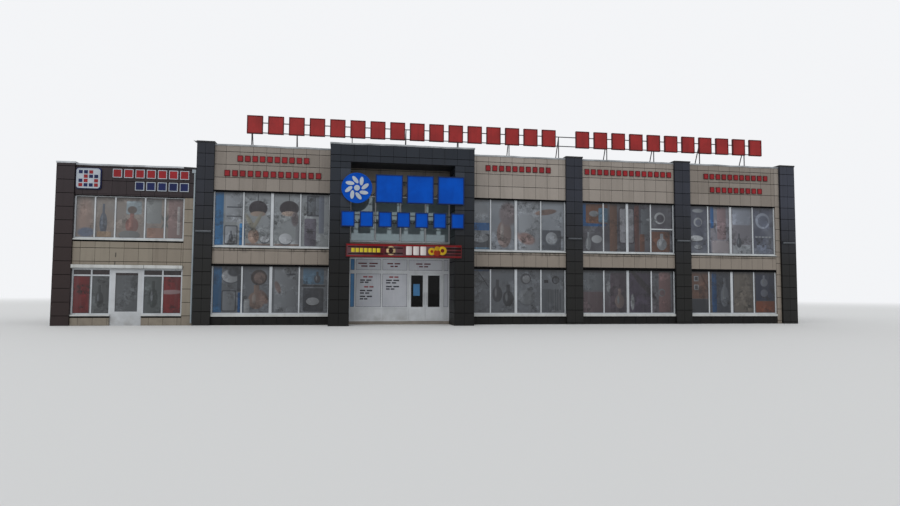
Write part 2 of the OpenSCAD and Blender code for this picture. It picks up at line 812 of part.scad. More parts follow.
// Sheet metal over the top of a wall between two corners, with an overhang on both faces
module wall_coping(w, z) {
    block([0, panel_in - coping_out, z], [w, pilaster_d + coping_out, z + coping_t]);
}

module cap(a, b, z) {
    block([a[0] - coping_out, a[1] - coping_out, z], [b[0] + coping_out, b[1] + coping_out, z + coping_t]);
}

module copings() {
    color("#b5b8bb") centred() {
        for (bay = coped_bays) at_bay(bay) wall_coping(bay[3], parapet_top);
        block([-coping_out, pilaster_d, parapet_top],
              [party_t + coping_out, main_d - pilaster_d, parapet_top + coping_t]);
        for (p = front_row) cap([p[0], 0], [p[0] + p[1], pilaster_d], pilaster_h);
        for (i = [0 : back_bays])
            cap([i * back_pitch, main_d - pilaster_d], [i * back_pitch + pilaster_w, main_d], pilaster_h);
        for (i = [1 : side_bays - 1]) let (y = pilaster_d + i * side_pitch)
            cap([main_w - pilaster_d, y - pilaster_w], [main_w, y], pilaster_h);
        cap([portal_x, -portal_out], [bay_2_x, pilaster_d], portal_top);
        for (bay = wing_coped_bays) at_bay(bay) wall_coping(bay[3], wing_h);
        for (c = wing_column_boxes) cap(c[0], c[1], wing_column_h);
    }
}

module pilaster_lights() {
    color("#b5b8bb") centred() for (p = front_row)
        translate([p[0] + (p[1] - light_w) / 2, -light_t, light_z]) cube([light_w, light_t, light_h]);
}

module wing_columns() {
    color("#3d3033") centred() for (c = wing_column_boxes)
        block([c[0][0], c[0][1], 0], [c[1][0], c[1][1], wing_column_h]);
}

// The tall band over the upper windows of the wing, which runs on over the pier on the front
module wing_sign_band() {
    color("#3d3033") centred() bay_panels(wing_coped_bays, wing_high_head, wing_h);
}

module wing_panels() {
    color("#857b6e") centred() {
        bay_panels(wing_bays, wing_low_head, wing_high_sill);
        bay_panels(wing_low_bays, 0, plinth_top);
    }
}

wing_upper_h = wing_high_head - wing_sill_top;
wing_low_z = plinth_top + wing_sill_h;
side_pane_w = (wing_front_w - wing_mid_pane) / 4;
wing_front_bars = [
    for (x = [side_pane_w, 2 * side_pane_w, wing_front_w - 2 * side_pane_w, wing_front_w - side_pane_w])
        [x, mullion_w]
];
wing_upper_panes = [
    for (i = [0 : len(wing_bays) - 1]) let (w = wing_bays[i][3])
        panes(w, wing_upper_h, i == 0 ? wing_front_bars : mullions(w))
];
// Lower windows stop under the shutter box on the front, and under the panels elsewhere
function wing_low_top(i) = i < 2 ? wing_box_z : wing_low_head;
wing_low_panes = [
    for (i = [0 : len(wing_low_bays) - 1]) let (w = wing_low_bays[i][3], h = wing_low_top(i) - wing_low_z)
        i < 2 ? panes(w, h, [[w / 2, mullion_w]], every_pane, h - wing_transom_drop) : panes(w, h, mullions(w))
];

module wing_frames() {
    color("#b8bbc0") centred() {
        for (i = [0 : len(wing_bays) - 1]) in_window(wing_bays[i], wing_sill_top)
            frame_of(wing_bays[i][3], wing_upper_h, wing_upper_panes[i]);
        for (i = [0 : len(wing_low_bays) - 1]) in_window(wing_low_bays[i], wing_low_z)
            frame_of(wing_low_bays[i][3], wing_low_top(i) - wing_low_z, wing_low_panes[i]);
    }
}

module wing_glass() {
    color("#70757c") centred() {
        for (i = [0 : len(wing_bays) - 1]) in_window(wing_bays[i], wing_sill_top)
            glass_of(wing_upper_panes[i]);
        for (i = [0 : len(wing_low_bays) - 1]) in_window(wing_low_bays[i], wing_low_z)
            glass_of(wing_low_panes[i]);
        in_window(wing_door_bay, 0) glass_of([wing_door_cell]);
    }
}

module wing_shutter_box() {
    color("#b5b8bb") centred()
        block([wing_front_x, panel_in - wing_box_out, wing_box_z], [-wing_pier_w, pilaster_d, wing_low_head]);
}

module wing_door() {
    color("#c9cbce") centred() in_window(wing_door_bay, 0) frame_of(wing_door_w, wing_box_z, [wing_door_cell]);
}

module wing_sign_plate() {
    color("#c9cbce") centred() translate([wing_front_x + sign_edge, panel_in - block_t, wing_plate_z])
        cube([wing_plate_w, block_t, wing_plate_h]);
}

module wing_sign_blocks() {
    color("#95222a") centred() for (r = wing_rows)
        translate([-wing_row_in - (r[0] - 1) * wing_row_pitch - wing_block_w, panel_in, r[1]])
            block_row(r[0], wing_row_pitch, [wing_block_w, mini_t, wing_block_h]);
}

module rainwater_pipe() {
    color("#b5b8bb") centred() translate([-pipe_in, pipe_y, 0]) {
        translate([0, 0, pipe_foot]) cylinder(d = pipe_d, h = hopper_z - pipe_foot, $fn = round_sides);
        translate([-hopper_left, -pipe_d / 2, hopper_z]) cube([hopper_w, panel_in - pipe_y + pipe_d / 2, hopper_h]);
        for (i = [0 : bracket_count - 1]) translate([-pipe_d / 4, 0, bracket_z + i * bracket_pitch])
            cube([pipe_d / 2, panel_in - pipe_y, bracket_h]);
    }
}

floor_slabs();
roof_deck();
front_pilasters();
rear_pilasters();
parapet_panels();
spandrel_panels();
plinth_panels();
wall_strips();
party_wall();
window_sills();
upper_window_frames();
lower_window_frames();
upper_window_glass();
lower_window_glass();
portal_legs();
portal_beam();
recess_wall();
entrance_frame();
entrance_transom();
entrance_glass();
kick_panels();
left_leaf();
right_leaf();
left_leaf_glass();
right_leaf_glass();
banner_box();
blue_sign_rails();
blue_sign_blocks();
roof_sign_rails();
roof_sign_posts();
roof_sign_stays();
roof_sign_blocks();
wall_sign_blocks();
copings();
pilaster_lights();
wing_columns();
wing_sign_band();
wing_panels();
wing_frames();
wing_glass();
wing_shutter_box();
wing_door();
wing_sign_plate();
wing_sign_blocks();
rainwater_pipe();
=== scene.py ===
# %% [markdown]
# # A two-storey supermarket building
# The real building is a concrete frame with brick infill, clad with large porcelain tiles:
# dark pilasters and a dark portal, beige panels between them, long windows covered with
# printed film, and sign boxes that stand on rails on the roof and hang on the walls.
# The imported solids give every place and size. This lesson loads them first, so that each
# new piece can be measured from the solid that it sits on.

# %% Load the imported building
import json
import math
import random
from contextlib import contextmanager

import bmesh
import bpy
from mathutils import Matrix, Vector

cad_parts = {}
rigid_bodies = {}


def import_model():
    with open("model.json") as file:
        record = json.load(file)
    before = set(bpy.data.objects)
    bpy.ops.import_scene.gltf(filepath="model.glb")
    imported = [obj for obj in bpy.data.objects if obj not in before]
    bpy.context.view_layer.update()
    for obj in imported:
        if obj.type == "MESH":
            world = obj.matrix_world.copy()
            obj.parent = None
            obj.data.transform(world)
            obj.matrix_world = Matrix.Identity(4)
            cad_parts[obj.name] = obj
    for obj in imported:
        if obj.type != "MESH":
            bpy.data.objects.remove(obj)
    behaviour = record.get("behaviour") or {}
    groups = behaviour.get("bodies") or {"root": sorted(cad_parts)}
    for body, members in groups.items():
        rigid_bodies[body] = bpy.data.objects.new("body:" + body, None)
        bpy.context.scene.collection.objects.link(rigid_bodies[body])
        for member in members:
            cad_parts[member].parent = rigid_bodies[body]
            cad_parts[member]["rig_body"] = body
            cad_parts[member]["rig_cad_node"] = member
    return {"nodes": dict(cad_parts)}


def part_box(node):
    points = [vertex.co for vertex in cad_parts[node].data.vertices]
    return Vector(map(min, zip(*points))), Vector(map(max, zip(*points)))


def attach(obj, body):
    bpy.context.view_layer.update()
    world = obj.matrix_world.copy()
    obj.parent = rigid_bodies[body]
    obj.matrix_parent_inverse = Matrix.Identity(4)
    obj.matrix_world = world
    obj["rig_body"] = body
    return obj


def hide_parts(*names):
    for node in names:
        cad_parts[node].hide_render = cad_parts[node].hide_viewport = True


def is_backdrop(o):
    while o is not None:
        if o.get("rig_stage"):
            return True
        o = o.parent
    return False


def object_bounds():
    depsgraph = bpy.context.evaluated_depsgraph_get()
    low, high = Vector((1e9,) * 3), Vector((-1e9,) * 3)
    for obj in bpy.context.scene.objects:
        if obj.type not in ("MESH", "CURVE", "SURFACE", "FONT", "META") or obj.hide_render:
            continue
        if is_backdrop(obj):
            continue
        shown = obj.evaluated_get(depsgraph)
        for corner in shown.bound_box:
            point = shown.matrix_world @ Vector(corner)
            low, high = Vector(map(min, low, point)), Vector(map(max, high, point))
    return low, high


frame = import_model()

cad_low, cad_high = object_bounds()
size_m = [round(side, 2) for side in cad_high - cad_low]
print("nodes:", len(frame["nodes"]), "size in metres:", size_m)

# %% [markdown]
# Sizes along the front are easiest to think of from the left edge of the first pilaster,
# as a builder would mark them with a tape. One helper turns such a place into a point of
# the scene, so the lesson can say "2.1 m from the corner, 3 m up".

# %% Places along the front
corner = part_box("front_pilasters")[0]


def place(x, y, z):
    """A point given in metres from the left foot of the first pilaster."""
    return Vector((corner.x + x, corner.y + y, z))


print("the corner lies at", [round(v, 3) for v in corner])

# %% [markdown]
# The camera comes before any piece. The photograph was taken at eye height across the
# street, a little left of the middle of the front and turned slightly to the right, with a
# wide lens. Those numbers were solved from the grid of the wall tiles, so the render can be
# laid over the photograph.

# %% Camera
EYE = place(6.75, -30.20, 1.60)
YAW, PITCH, ROLL = math.radians(9.48), math.radians(3.48), math.radians(0.32)
flat = Vector((math.sin(YAW), math.cos(YAW), 0))
forward = flat * math.cos(PITCH) + Vector((0, 0, math.sin(PITCH)))
level_right = Vector((math.cos(YAW), -math.sin(YAW), 0))
level_up = level_right.cross(forward)
right = math.cos(ROLL) * level_right + math.sin(ROLL) * level_up
up = math.cos(ROLL) * level_up - math.sin(ROLL) * level_right
lens = bpy.data.cameras.new("camera")
lens.lens, lens.sensor_width, lens.sensor_fit = 25.28, 36, "HORIZONTAL"
lens.clip_end = 1000
camera = bpy.data.objects.new("camera", lens)
bpy.context.scene.collection.objects.link(camera)
camera.matrix_world = Matrix((
    (right.x, up.x, -forward.x, EYE.x),
    (right.y, up.y, -forward.y, EYE.y),
    (right.z, up.z, -forward.z, EYE.z),
    (0, 0, 0, 1),
))
bpy.context.scene.camera = camera
print("camera", [round(v, 2) for v in EYE], "lens", lens.lens)

# %% [markdown]
# Every piece is made with the same few moves of a modeller. The first ones pick one thing,
# start from a primitive at its place, and put place and size into the mesh. They could be
# typed out for each piece; written once, they keep the later cells short.

# %% Start a piece
def pick(piece):
    """Makes piece the only thing that the operators act on."""
    bpy.ops.object.select_all(action="DESELECT")
    piece.select_set(True)
    bpy.context.view_layer.objects.active = piece


@contextmanager
def editing(piece):
    """Edit mode on one piece for the lines that follow."""
    pick(piece)
    bpy.ops.object.mode_set(mode="EDIT")
    yield
    bpy.ops.object.mode_set(mode="OBJECT")


def added(add, name, scale=(1, 1, 1), **how):
    """A new primitive; its place, turn and size go into its mesh, ready to be shaped."""
    bpy.ops.object.select_all(action="DESELECT")
    add(**how)
    piece = bpy.context.object
    piece.name, piece.scale = name, scale
    pick(piece)
    bpy.ops.object.transform_apply(location=True, rotation=True, scale=True)
    return piece


def block(name, low, high):
    """A cuboid between two corners."""
    low, high = Vector(low), Vector(high)
    return added(bpy.ops.mesh.primitive_cube_add, name, high - low, size=1,
                 location=(low + high) / 2)


def rod(name, start, end, radius, sides=12):
    """A round bar from one point to another."""
    start, end = Vector(start), Vector(end)
    run = end - start
    return added(bpy.ops.mesh.primitive_cylinder_add, name, vertices=sides, radius=radius,
                 depth=run.length, location=(start + end) / 2,
                 rotation=run.to_track_quat("Z", "Y").to_euler())


print("pieces start as blocks and rods")

# %% [markdown]
# Shaping is done on chosen faces and edges. They could be clicked in edit mode; here a
# small test describes them by where they look, how far they reach or where they lie, so
# the choice still holds when a size changes.

# %% Choose and shape
def choose(piece, wanted, what="faces"):
    """In edit mode, selects the faces or edges for which wanted(element) is true."""
    bpy.ops.mesh.select_mode(type="FACE" if what == "faces" else "EDGE")
    bpy.ops.mesh.select_all(action="DESELECT")
    form = bmesh.from_edit_mesh(piece.data)
    for element in (form.faces if what == "faces" else form.edges):
        if wanted(element):
            element.select_set(True)
    bmesh.update_edit_mesh(piece.data)


def to_front(least=0.0):
    """A test for faces that look to the front and are larger than an area."""
    return lambda face: face.normal.y < -0.99 and face.calc_area() > least


def along_axis(axis, least):
    """A test for edges that reach further than a length along an axis."""
    return lambda edge: abs((edge.verts[0].co - edge.verts[1].co)[axis]) > least


def at_level(axis, level):
    """A test for edges whose two ends lie at one place of an axis."""
    return lambda edge: all(abs(end.co[axis] - level) < 0.001 for end in edge.verts)


def sink(rim, depth):
    """In edit mode, insets the chosen faces by a rim and pushes them back."""
    bpy.ops.mesh.inset(thickness=rim)
    bpy.ops.mesh.extrude_region_move(TRANSFORM_OT_translate={"value": (0, depth, 0)})


def paint(piece, slot):
    """In edit mode, gives the chosen faces the material of a slot."""
    piece.active_material_index = slot
    bpy.ops.object.material_slot_assign()


def bevel_edges(piece, wanted, radius, segments):
    """In edit mode, rounds only the edges for which wanted(edge) is true."""
    choose(piece, wanted, "edges")
    bpy.ops.mesh.bevel(offset=radius, segments=segments, affect="EDGES")


def soften(piece, radius, segments=1):
    """Rounds all the edges of a piece."""
    with editing(piece):
        bpy.ops.mesh.select_all(action="SELECT")
        bpy.ops.mesh.bevel(offset=radius, segments=segments, affect="EDGES")
    return piece


print("faces and edges are chosen by tests")

# %% [markdown]
# Finished parts are copied, joined, given their materials by name and fixed to the body
# that carries them. Hundreds of single boxes would work too, but a joined row is one piece
# with one finish, as a fitter would hang it.

# %% Join, dress and mount
MATERIALS = {}


def copied(piece, name, offset):
    """A copy with its own mesh, moved by an offset."""
    twin = piece.copy()
    twin.data = piece.data.copy()
    twin.name = name
    bpy.context.collection.objects.link(twin)
    twin.data.transform(Matrix.Translation(Vector(offset)))
    return twin


def joined(name, pieces):
    """Joins pieces into one and names it."""
    pick(pieces[0])
    for piece in pieces:
        piece.select_set(True)
    bpy.ops.object.join()
    pieces[0].name = name
    return pieces[0]


def dress(piece, *names):
    """Gives a piece the materials of these names, slot by slot; each face keeps its slot."""
    marks = [min(face.material_index, len(names) - 1) for face in piece.data.polygons]
    piece.data.materials.clear()
    for name in names:
        piece.data.materials.append(MATERIALS[name])
    piece.data.polygons.foreach_set("material_index", marks)
    return piece


def mount(piece, slot, *stands_for, body="building"):
    """Fixes a finished piece to the body that carries it."""
    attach(piece, body)
    if stands_for:
        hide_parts(*stands_for)
    print(f"{piece.name}: {len(piece.data.polygons)} faces on {body}")


def fix(name, pieces, material, slot, *stands_for, body="building"):
    """Joins pieces of one material and mounts them."""
    mount(dress(joined(name, pieces), material), slot, *stands_for, body=body)


print("materials so far:", len(MATERIALS))

# %% [markdown]
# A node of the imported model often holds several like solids, such as the panels of all
# bays. To lay tiles on each panel we need the corners of every single solid, which a
# modeller would read off the drawing. Here they are read from the mesh, by walking over
# the vertices that hang together.

# %% Measure the solids of a node
def solids(name):
    """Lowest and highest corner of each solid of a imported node, from left to right."""
    form = bmesh.new()
    form.from_mesh(frame["nodes"][name].data)
    bmesh.ops.remove_doubles(form, verts=form.verts, dist=0.0001)
    seen, boxes = set(), []
    for first in form.verts:
        if first in seen:
            continue
        seen.add(first)
        queue, low, high = [first], Vector(first.co), Vector(first.co)
        while queue:
            vertex = queue.pop()
            low, high = Vector(map(min, low, vertex.co)), Vector(map(max, high, vertex.co))
            fresh = {edge.other_vert(vertex) for edge in vertex.link_edges} - seen
            seen |= fresh
            queue += fresh
        boxes.append((low, high))
    form.free()
    return sorted(boxes, key=lambda box: (round(box[0].x, 3), round(box[0].y, 3), box[0].z))


def wide(box):
    """The width of a box along the front."""
    return box[1].x - box[0].x


print("panels over the windows:", len(solids("parapet_panels")))

# %% [markdown]
# ## Materials
# Shader trees could be wired by hand in the node editor. Here most of them are alike, so
# they are built by a few small helpers that make a node and fill its inputs. Colours are
# written as a painter would read them off the screen and turned into linear light first.

# %% Make shader nodes
def hue(code, factor=1.0):
    """A linear colour from a hex code, made darker or lighter by a factor."""
    values = [int(code[i:i + 2], 16) / 255 for i in (1, 3, 5)]
    linear = [v / 12.92 if v <= 0.04045 else ((v + 0.055) / 1.055) ** 2.4 for v in values]
    return (*(v * factor for v in linear), 1)


def new_material(name):
    """An empty material, kept under its name; returns its tree and its Principled node."""
    material = MATERIALS[name] = bpy.data.materials.new(name)
    material.use_nodes = True
    return material.node_tree, material.node_tree.nodes["Principled BSDF"]


def wire(tree, source, target):
    """Links a socket, or writes a plain value into it."""
    if isinstance(source, bpy.types.NodeSocket):
        tree.links.new(source, target)
    else:
        target.default_value = source


def feed(tree, made, **named):
    """Fills inputs of a node by their names, where _ stands for a space; returns the node."""
    for label, value in named.items():
        wire(tree, value, made.inputs[label.replace("_", " ")])
    return made


def node(tree, kind, *values, setup=None, **named):
    """A shader node with inputs filled in their order, then by name; returns it."""
    made = tree.nodes.new("ShaderNode" + kind)
    for key, value in (setup or {}).items():
        setattr(made, key, value)
    for value, target in zip(values, made.inputs):
        wire(tree, value, target)
    return feed(tree, made, **named)


print("warm beige in linear light:", [round(v, 3) for v in hue("#8b847c")])

# %% [markdown]
# On top of these come the moves that nearly every material needs: arithmetic, a smooth
# ramp, a mix of two colours, and noise on Object coordinates. Each returns its output
# socket, so one move can be written inside the next one.

# %% Shader arithmetic and noise
def sums(tree, operation, *values, clamp=False):
    """A Math node; returns its output."""
    setup = {"operation": operation, "use_clamp": clamp}
    return node(tree, "Math", *values, setup=setup).outputs[0]


def product(tree, first, *others):
    """All the values multiplied; returns the last output."""
    for other in others:
        first = sums(tree, "MULTIPLY", first, other)
    return first


def spread(tree, value, low, high, to_low=0.0, to_high=1.0):
    """A smooth Map Range node; returns its output."""
    setup = {"interpolation_type": "SMOOTHSTEP"}
    return node(tree, "MapRange", value, low, high, to_low, to_high, setup=setup).outputs[0]


def mixed(tree, share, first, second):
    """A colour Mix node; a share above 1 goes on past the second colour; returns its output."""
    made = node(tree, "Mix", share, setup={"data_type": "RGBA", "clamp_factor": False})
    wire(tree, first, made.inputs[6])
    wire(tree, second, made.inputs[7])
    return made.outputs[2]


def scaled(tree, colour, factor):
    """A colour made lighter or darker by a factor; returns its output."""
    return node(tree, "VectorMath", colour, Scale=factor, setup={"operation": "SCALE"}).outputs[0]


def xyz(tree):
    """The three outputs with x, y and z of the Object coordinates."""
    return node(tree, "SeparateXYZ", node(tree, "TexCoord").outputs["Object"]).outputs


def noise(tree, scale, stretch=(1, 1, 1), detail=4, roughness=0.55):
    """Noise on Object coordinates, drawn out along the axes; returns its value."""
    where = node(tree, "Mapping", node(tree, "TexCoord").outputs["Object"], Scale=stretch)
    return node(tree, "TexNoise", where.outputs[0], Scale=scale, Detail=detail,
                Roughness=roughness).outputs[0]


print("shader moves ready")

# %% [markdown]
# What several materials share becomes a node group, one box with named inputs. The nodes
# could be repeated in every material, but a change to a group reaches all of them at once.

# %% Node groups
def group(name, inputs, outputs):
    """A node group with named inputs and outputs; returns it and its sockets on both ends."""
    made = bpy.data.node_groups.new(name, "ShaderNodeTree")
    kinds = {float: "NodeSocketFloat", tuple: "NodeSocketColor"}
    for way, sockets in (("INPUT", inputs), ("OUTPUT", outputs)):
        for label, value in sockets.items():
            kind = kinds[type(value)]
            socket = made.interface.new_socket(name=label, in_out=way, socket_type=kind)
            socket.default_value = value
    start, end = made.nodes.new("NodeGroupInput"), made.nodes.new("NodeGroupOutput")
    return made, start.outputs, end.inputs


def placed(tree, made, **values):
    """Puts a group into a tree with its own values; returns its outputs."""
    return node(tree, "Group", setup={"node_tree": made}, **values).outputs


print("node groups so far:", len(bpy.data.node_groups))

# %% [markdown]
# Every surface here stands outdoors for years, so the first shared group is weather: rain
# streaks that run down, splashed dirt near the ground, and a faint mottle. Dirt could be
# painted on a texture for each wall. Noise on Object coordinates needs no unwrapping and
# runs on from piece to piece, as real streaks do.

# %% Weather group
weather, given, result = group(
    "weather",
    {"Colour": (0.5, 0.5, 0.5, 1), "Dirt": (0.1, 0.09, 0.08, 1),
     "Streaks": 0.3, "Splash": 0.3, "Mottle": 0.1},
    {"Colour": (0, 0, 0, 1), "Mask": 0.0, "Grain": 0.0})
runs = spread(weather, noise(weather, 2.6, (1.7, 1.7, 0.12), 5, 0.62), 0.45, 0.78)
foot = spread(weather, xyz(weather)[2], 0.9, 0.0)
splashes = spread(weather, noise(weather, 3.0), 0.25, 0.75)
mask = sums(weather, "MAXIMUM", product(weather, runs, given["Streaks"]),
            product(weather, foot, splashes, given["Splash"]), clamp=True)
dirty = mixed(weather, mask, given["Colour"], given["Dirt"])
blot = sums(weather, "SUBTRACT", noise(weather, 7.0, (1, 1, 1), 6, 0.6), 0.5)
blot = sums(weather, "MULTIPLY_ADD", blot, given["Mottle"], 1.0)
wire(weather, scaled(weather, dirty, blot), result["Colour"])
wire(weather, mask, result["Mask"])
wire(weather, noise(weather, 90.0, (1, 1, 1), 3, 0.5), result["Grain"])
print("weather group:", len(weather.nodes), "nodes")

# %% [markdown]
# Below each long sill the rain has also left short dark marks. They start all at one
# height and end at different ones, so a second group takes that height and a length, and
# two slow noises along the wall decide how far each mark runs and how dark it is. Between
# the marks the band under the sill is darkened too, as painted shade under the sill, so
# the group gives drip stains and painted shade together.

# %% Drip marks group
drip_stains_and_shade, given, result = group("drip_marks_and_sill_shade", {"Top": 3.0, "Length": 0.3}, {"Mask": 0.0})
below = sums(drip_stains_and_shade, "SUBTRACT", given["Top"], xyz(drip_stains_and_shade)[2])
reach = spread(drip_stains_and_shade, noise(drip_stains_and_shade, 3.1, (1, 1, 0), 1), 0.35, 0.65, 0.3, 1.0)
run = sums(drip_stains_and_shade, "DIVIDE", below, product(drip_stains_and_shade, reach, given["Length"]))
columns = spread(drip_stains_and_shade, noise(drip_stains_and_shade, 7.0, (1, 1, 0), 2), 0.5, 0.68, 0.3, 0.9)
fade = product(drip_stains_and_shade, spread(drip_stains_and_shade, run, 0.0, 1.0, 1.0, 0.0), columns,
               spread(drip_stains_and_shade, below, -0.02, 0.0))
wire(drip_stains_and_shade, fade, result["Mask"])
print("drip group:", len(drip_stains_and_shade.nodes), "nodes")

# %% [markdown]
# A finish is a Principled shader that takes its colour through the weather group, gets a
# little rougher where it is dirty, and carries the finest relief as bump. With that
# written once, most materials of the building are a line each: what differs is colour,
# gloss, grain and how much dirt holds on to them.

# %% Weathered finish
def finish(name, light, dark, dirt, streaks, splash, mottle, rough, sheen=0.5, grain=0.0006,
           slabs=False, low=None, under=None):
    """A weathered material between two tones; low is a darker tone painted near the ground,
    as painted shade and a painted reflection of the ground, and under is the height of the
    sills below which drip stains and painted shade darken it."""
    tree, shader = new_material(name)
    if slabs:
        share = node(tree, "Attribute", setup={"attribute_name": "tile_tone"}).outputs["Fac"]
    else:
        share = spread(tree, noise(tree, 1.4), 0.3, 0.7)
    colour = mixed(tree, share, hue(dark), hue(light))
    # low paints the lower tiles darker: painted shade and a painted reflection of the ground.
    if low:
        colour = mixed(tree, spread(tree, xyz(tree)[2], 7.0, 2.5), colour, hue(low))
    # Below the sills: drip stains, and a band of painted shade under the sill.
    if under:
        marks = placed(tree, drip_stains_and_shade, Top=under, Length=0.3)
        colour = mixed(tree, marks["Mask"], colour, hue("#2b2723"))
    worn = placed(tree, weather, Colour=colour, Dirt=hue(dirt), Streaks=streaks,
                  Splash=splash, Mottle=mottle)
    gloss = sums(tree, "MULTIPLY_ADD", worn["Mask"], 0.3, rough)
    gloss = sums(tree, "MULTIPLY_ADD", worn["Grain"], 0.1, gloss, clamp=True)
    bump = node(tree, "Bump", Height=worn["Grain"], Distance=grain, Strength=0.6)
    feed(tree, shader, Base_Color=worn["Colour"], Roughness=gloss, Specular_IOR_Level=sheen,
         Normal=bump.outputs[0])


print("finishes so far:", len(MATERIALS))

# %% [markdown]
# Now the finishes of the real building, matched to the photograph. A table is easier to
# compare and correct than a screen full of sliders. Each row holds a name, two tones,
# dirt, streaks, splash, mottle, roughness and sheen. Rows for tiles end with a darker tone
# that is painted near the ground as painted shade and a painted reflection of the ground,
# and some others end with their grain.

# %% Table of finishes
sill_height = solids("spandrel_panels")[0][1].z
# The last value of a tile row is its tone near the ground: painted shade and reflection.
for *row, low in (
        ("dark_tile", "#262932", "#1f222a", "#1a1815", 0.25, 0.4, 0.2, 0.4, 0.25, "#191918"),
        ("beige_tile", "#8f877f", "#867e76", "#544e46", 0.22, 0.4, 0.1, 0.45, 0.3, "#82796f"),
        ("portal_tile", "#232830", "#1c2129", "#1a1815", 0.25, 0.4, 0.2, 0.4, 0.22, "#0c0c0c"),
        ("wing_tile", "#827a6d", "#7b7266", "#544d44", 0.3, 0.4, 0.1, 0.45, 0.3, None),
        ("brown_tile", "#30272a", "#292124", "#1f1a18", 0.25, 0.4, 0.15, 0.4, 0.25, "#2a1f1e"),
        ("recess_tile", "#8c857b", "#7f786f", "#45413b", 0.3, 0.3, 0.1, 0.45, 0.3, None),
        ("plinth_stone", "#0e0e0d", "#090909", "#24211e", 0.2, 0.5, 0.3, 0.5, 0.2, None)):
    finish(*row, slabs=True, low=low, under=sill_height if row[0] == "beige_tile" else None)
for row in (
        # Near black: painted shade of the open cavity behind the joints.
        ("joint", "#050505", "#030303", "#0a0908", 0.2, 0.2, 0.1, 0.9, 0.0),
        # Near black: painted shadow on the drip edges and the sill folds.
        ("head_metal", "#131314", "#101011", "#0d0c0b", 0.2, 0.2, 0.1, 0.8, 0.0),
        ("concrete", "#8f8d88", "#7c7a75", "#55514b", 0.3, 0.3, 0.25, 0.8, 0.3, 0.002),
        ("render_coat", "#8f8d88", "#827f79", "#5a564f", 0.4, 0.4, 0.2, 0.85, 0.3, 0.002),
        ("roof_felt", "#3a3a39", "#2c2c2c", "#57534c", 0.2, 0.0, 0.4, 0.9, 0.3, 0.003),
        ("white_metal", "#bbbdbb", "#acaeac", "#6b665e", 0.35, 0.3, 0.1, 0.4),
        ("white_frame", "#b9bdc1", "#aaaeb2", "#77736c", 0.25, 0.3, 0.08, 0.3),
        ("grey_frame", "#bbbec1", "#acafb2", "#77736c", 0.15, 0.3, 0.06, 0.32),
        ("white_panel", "#b6b9bc", "#a8abae", "#77736c", 0.2, 0.5, 0.08, 0.35),
        ("coping_metal", "#a1a5a8", "#74787b", "#4b4843", 0.3, 0.0, 0.2, 0.42),
        ("wing_coping", "#b6babe", "#8f9397", "#625e57", 0.3, 0.0, 0.15, 0.42),
        ("dark_coping", "#1d1e22", "#16171a", "#3a362f", 0.3, 0.0, 0.2, 0.5, 0.3),
        ("dark_metal", "#1f2125", "#18191c", "#3a322b", 0.3, 0.0, 0.2, 0.5, 0.3),
        ("sign_metal", "#3c3e42", "#2e3033", "#5a4538", 0.35, 0.0, 0.2, 0.5, 0.3),
        ("lamp_body", "#54585d", "#45494e", "#33302d", 0.3, 0.0, 0.1, 0.45, 0.4),
        ("pull_metal", "#a9acb0", "#96999d", "#55514a", 0.2, 0.0, 0.1, 0.3),
        ("pipe_metal", "#8f999f", "#7d878d", "#4a4640", 0.3, 0.3, 0.12, 0.4),
        ("roof_red", "#972524", "#86201f", "#541b1b", 0.3, 0.0, 0.12, 0.45, 0.25),
        ("wall_red", "#90191f", "#80161c", "#471416", 0.35, 0.0, 0.12, 0.45, 0.25),
        ("deep_red", "#571417", "#491114", "#2f0f10", 0.35, 0.0, 0.15, 0.5, 0.2),
        ("blue_acrylic", "#004bb0", "#0042a0", "#062250", 0.12, 0.0, 0.08, 0.5, 0.08),
        ("deep_blue", "#08265a", "#061f4c", "#081733", 0.2, 0.0, 0.1, 0.45, 0.2),
        ("navy", "#16204f", "#111a42", "#0c1128", 0.2, 0.0, 0.1, 0.45, 0.2),
        ("pale_acrylic", "#aab2ba", "#9ca4ac", "#6c6a66", 0.25, 0.0, 0.08, 0.35),
        ("blue_film", "#2d6fa3", "#28648f", "#1c4563", 0.15, 0.3, 0.06, 0.25),
        ("seal", "#3b3c3e", "#2e2f31", "#1d1c1a", 0.1, 0.0, 0.1, 0.6, 0.2)):
    finish(*row)
print("finishes:", len(MATERIALS))

# %% [markdown]
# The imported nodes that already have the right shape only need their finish. Slabs, posts,
# frames and rails stay as they are; walls stay too, because the tiles that follow are laid
# on top of them.

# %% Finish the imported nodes
PACKED = {
    "concrete": "floor_slabs", "roof_felt": "roof_deck", "plinth_stone": "plinth_panels",
    "dark_tile": "front_pilasters rear_pilasters", "beige_tile": "spandrel_panels wall_strips",
    "render_coat": "parapet_panels party_wall wing_sign_band", "recess_tile": "recess_wall",
    "portal_tile": "portal_legs portal_beam", "white_metal": "window_sills wing_shutter_box",
    "white_frame": "upper_window_frames lower_window_frames wing_frames",
    "grey_frame": "entrance_frame entrance_transom left_leaf right_leaf",
    "white_panel": "kick_panels wing_door", "dark_metal": "blue_sign_rails",
    "sign_metal": "roof_sign_rails roof_sign_posts roof_sign_stays",
    "brown_tile": "wing_columns", "wing_tile": "wing_panels", "pipe_metal": "rainwater_pipe",
}
for name, packed in PACKED.items():
    for part in packed.split():
        slots = frame["nodes"][part].data.materials
        for i in range(len(slots)):
            slots[i] = MATERIALS[name]
print("finished nodes:", sum(len(packed.split()) for packed in PACKED.values()))

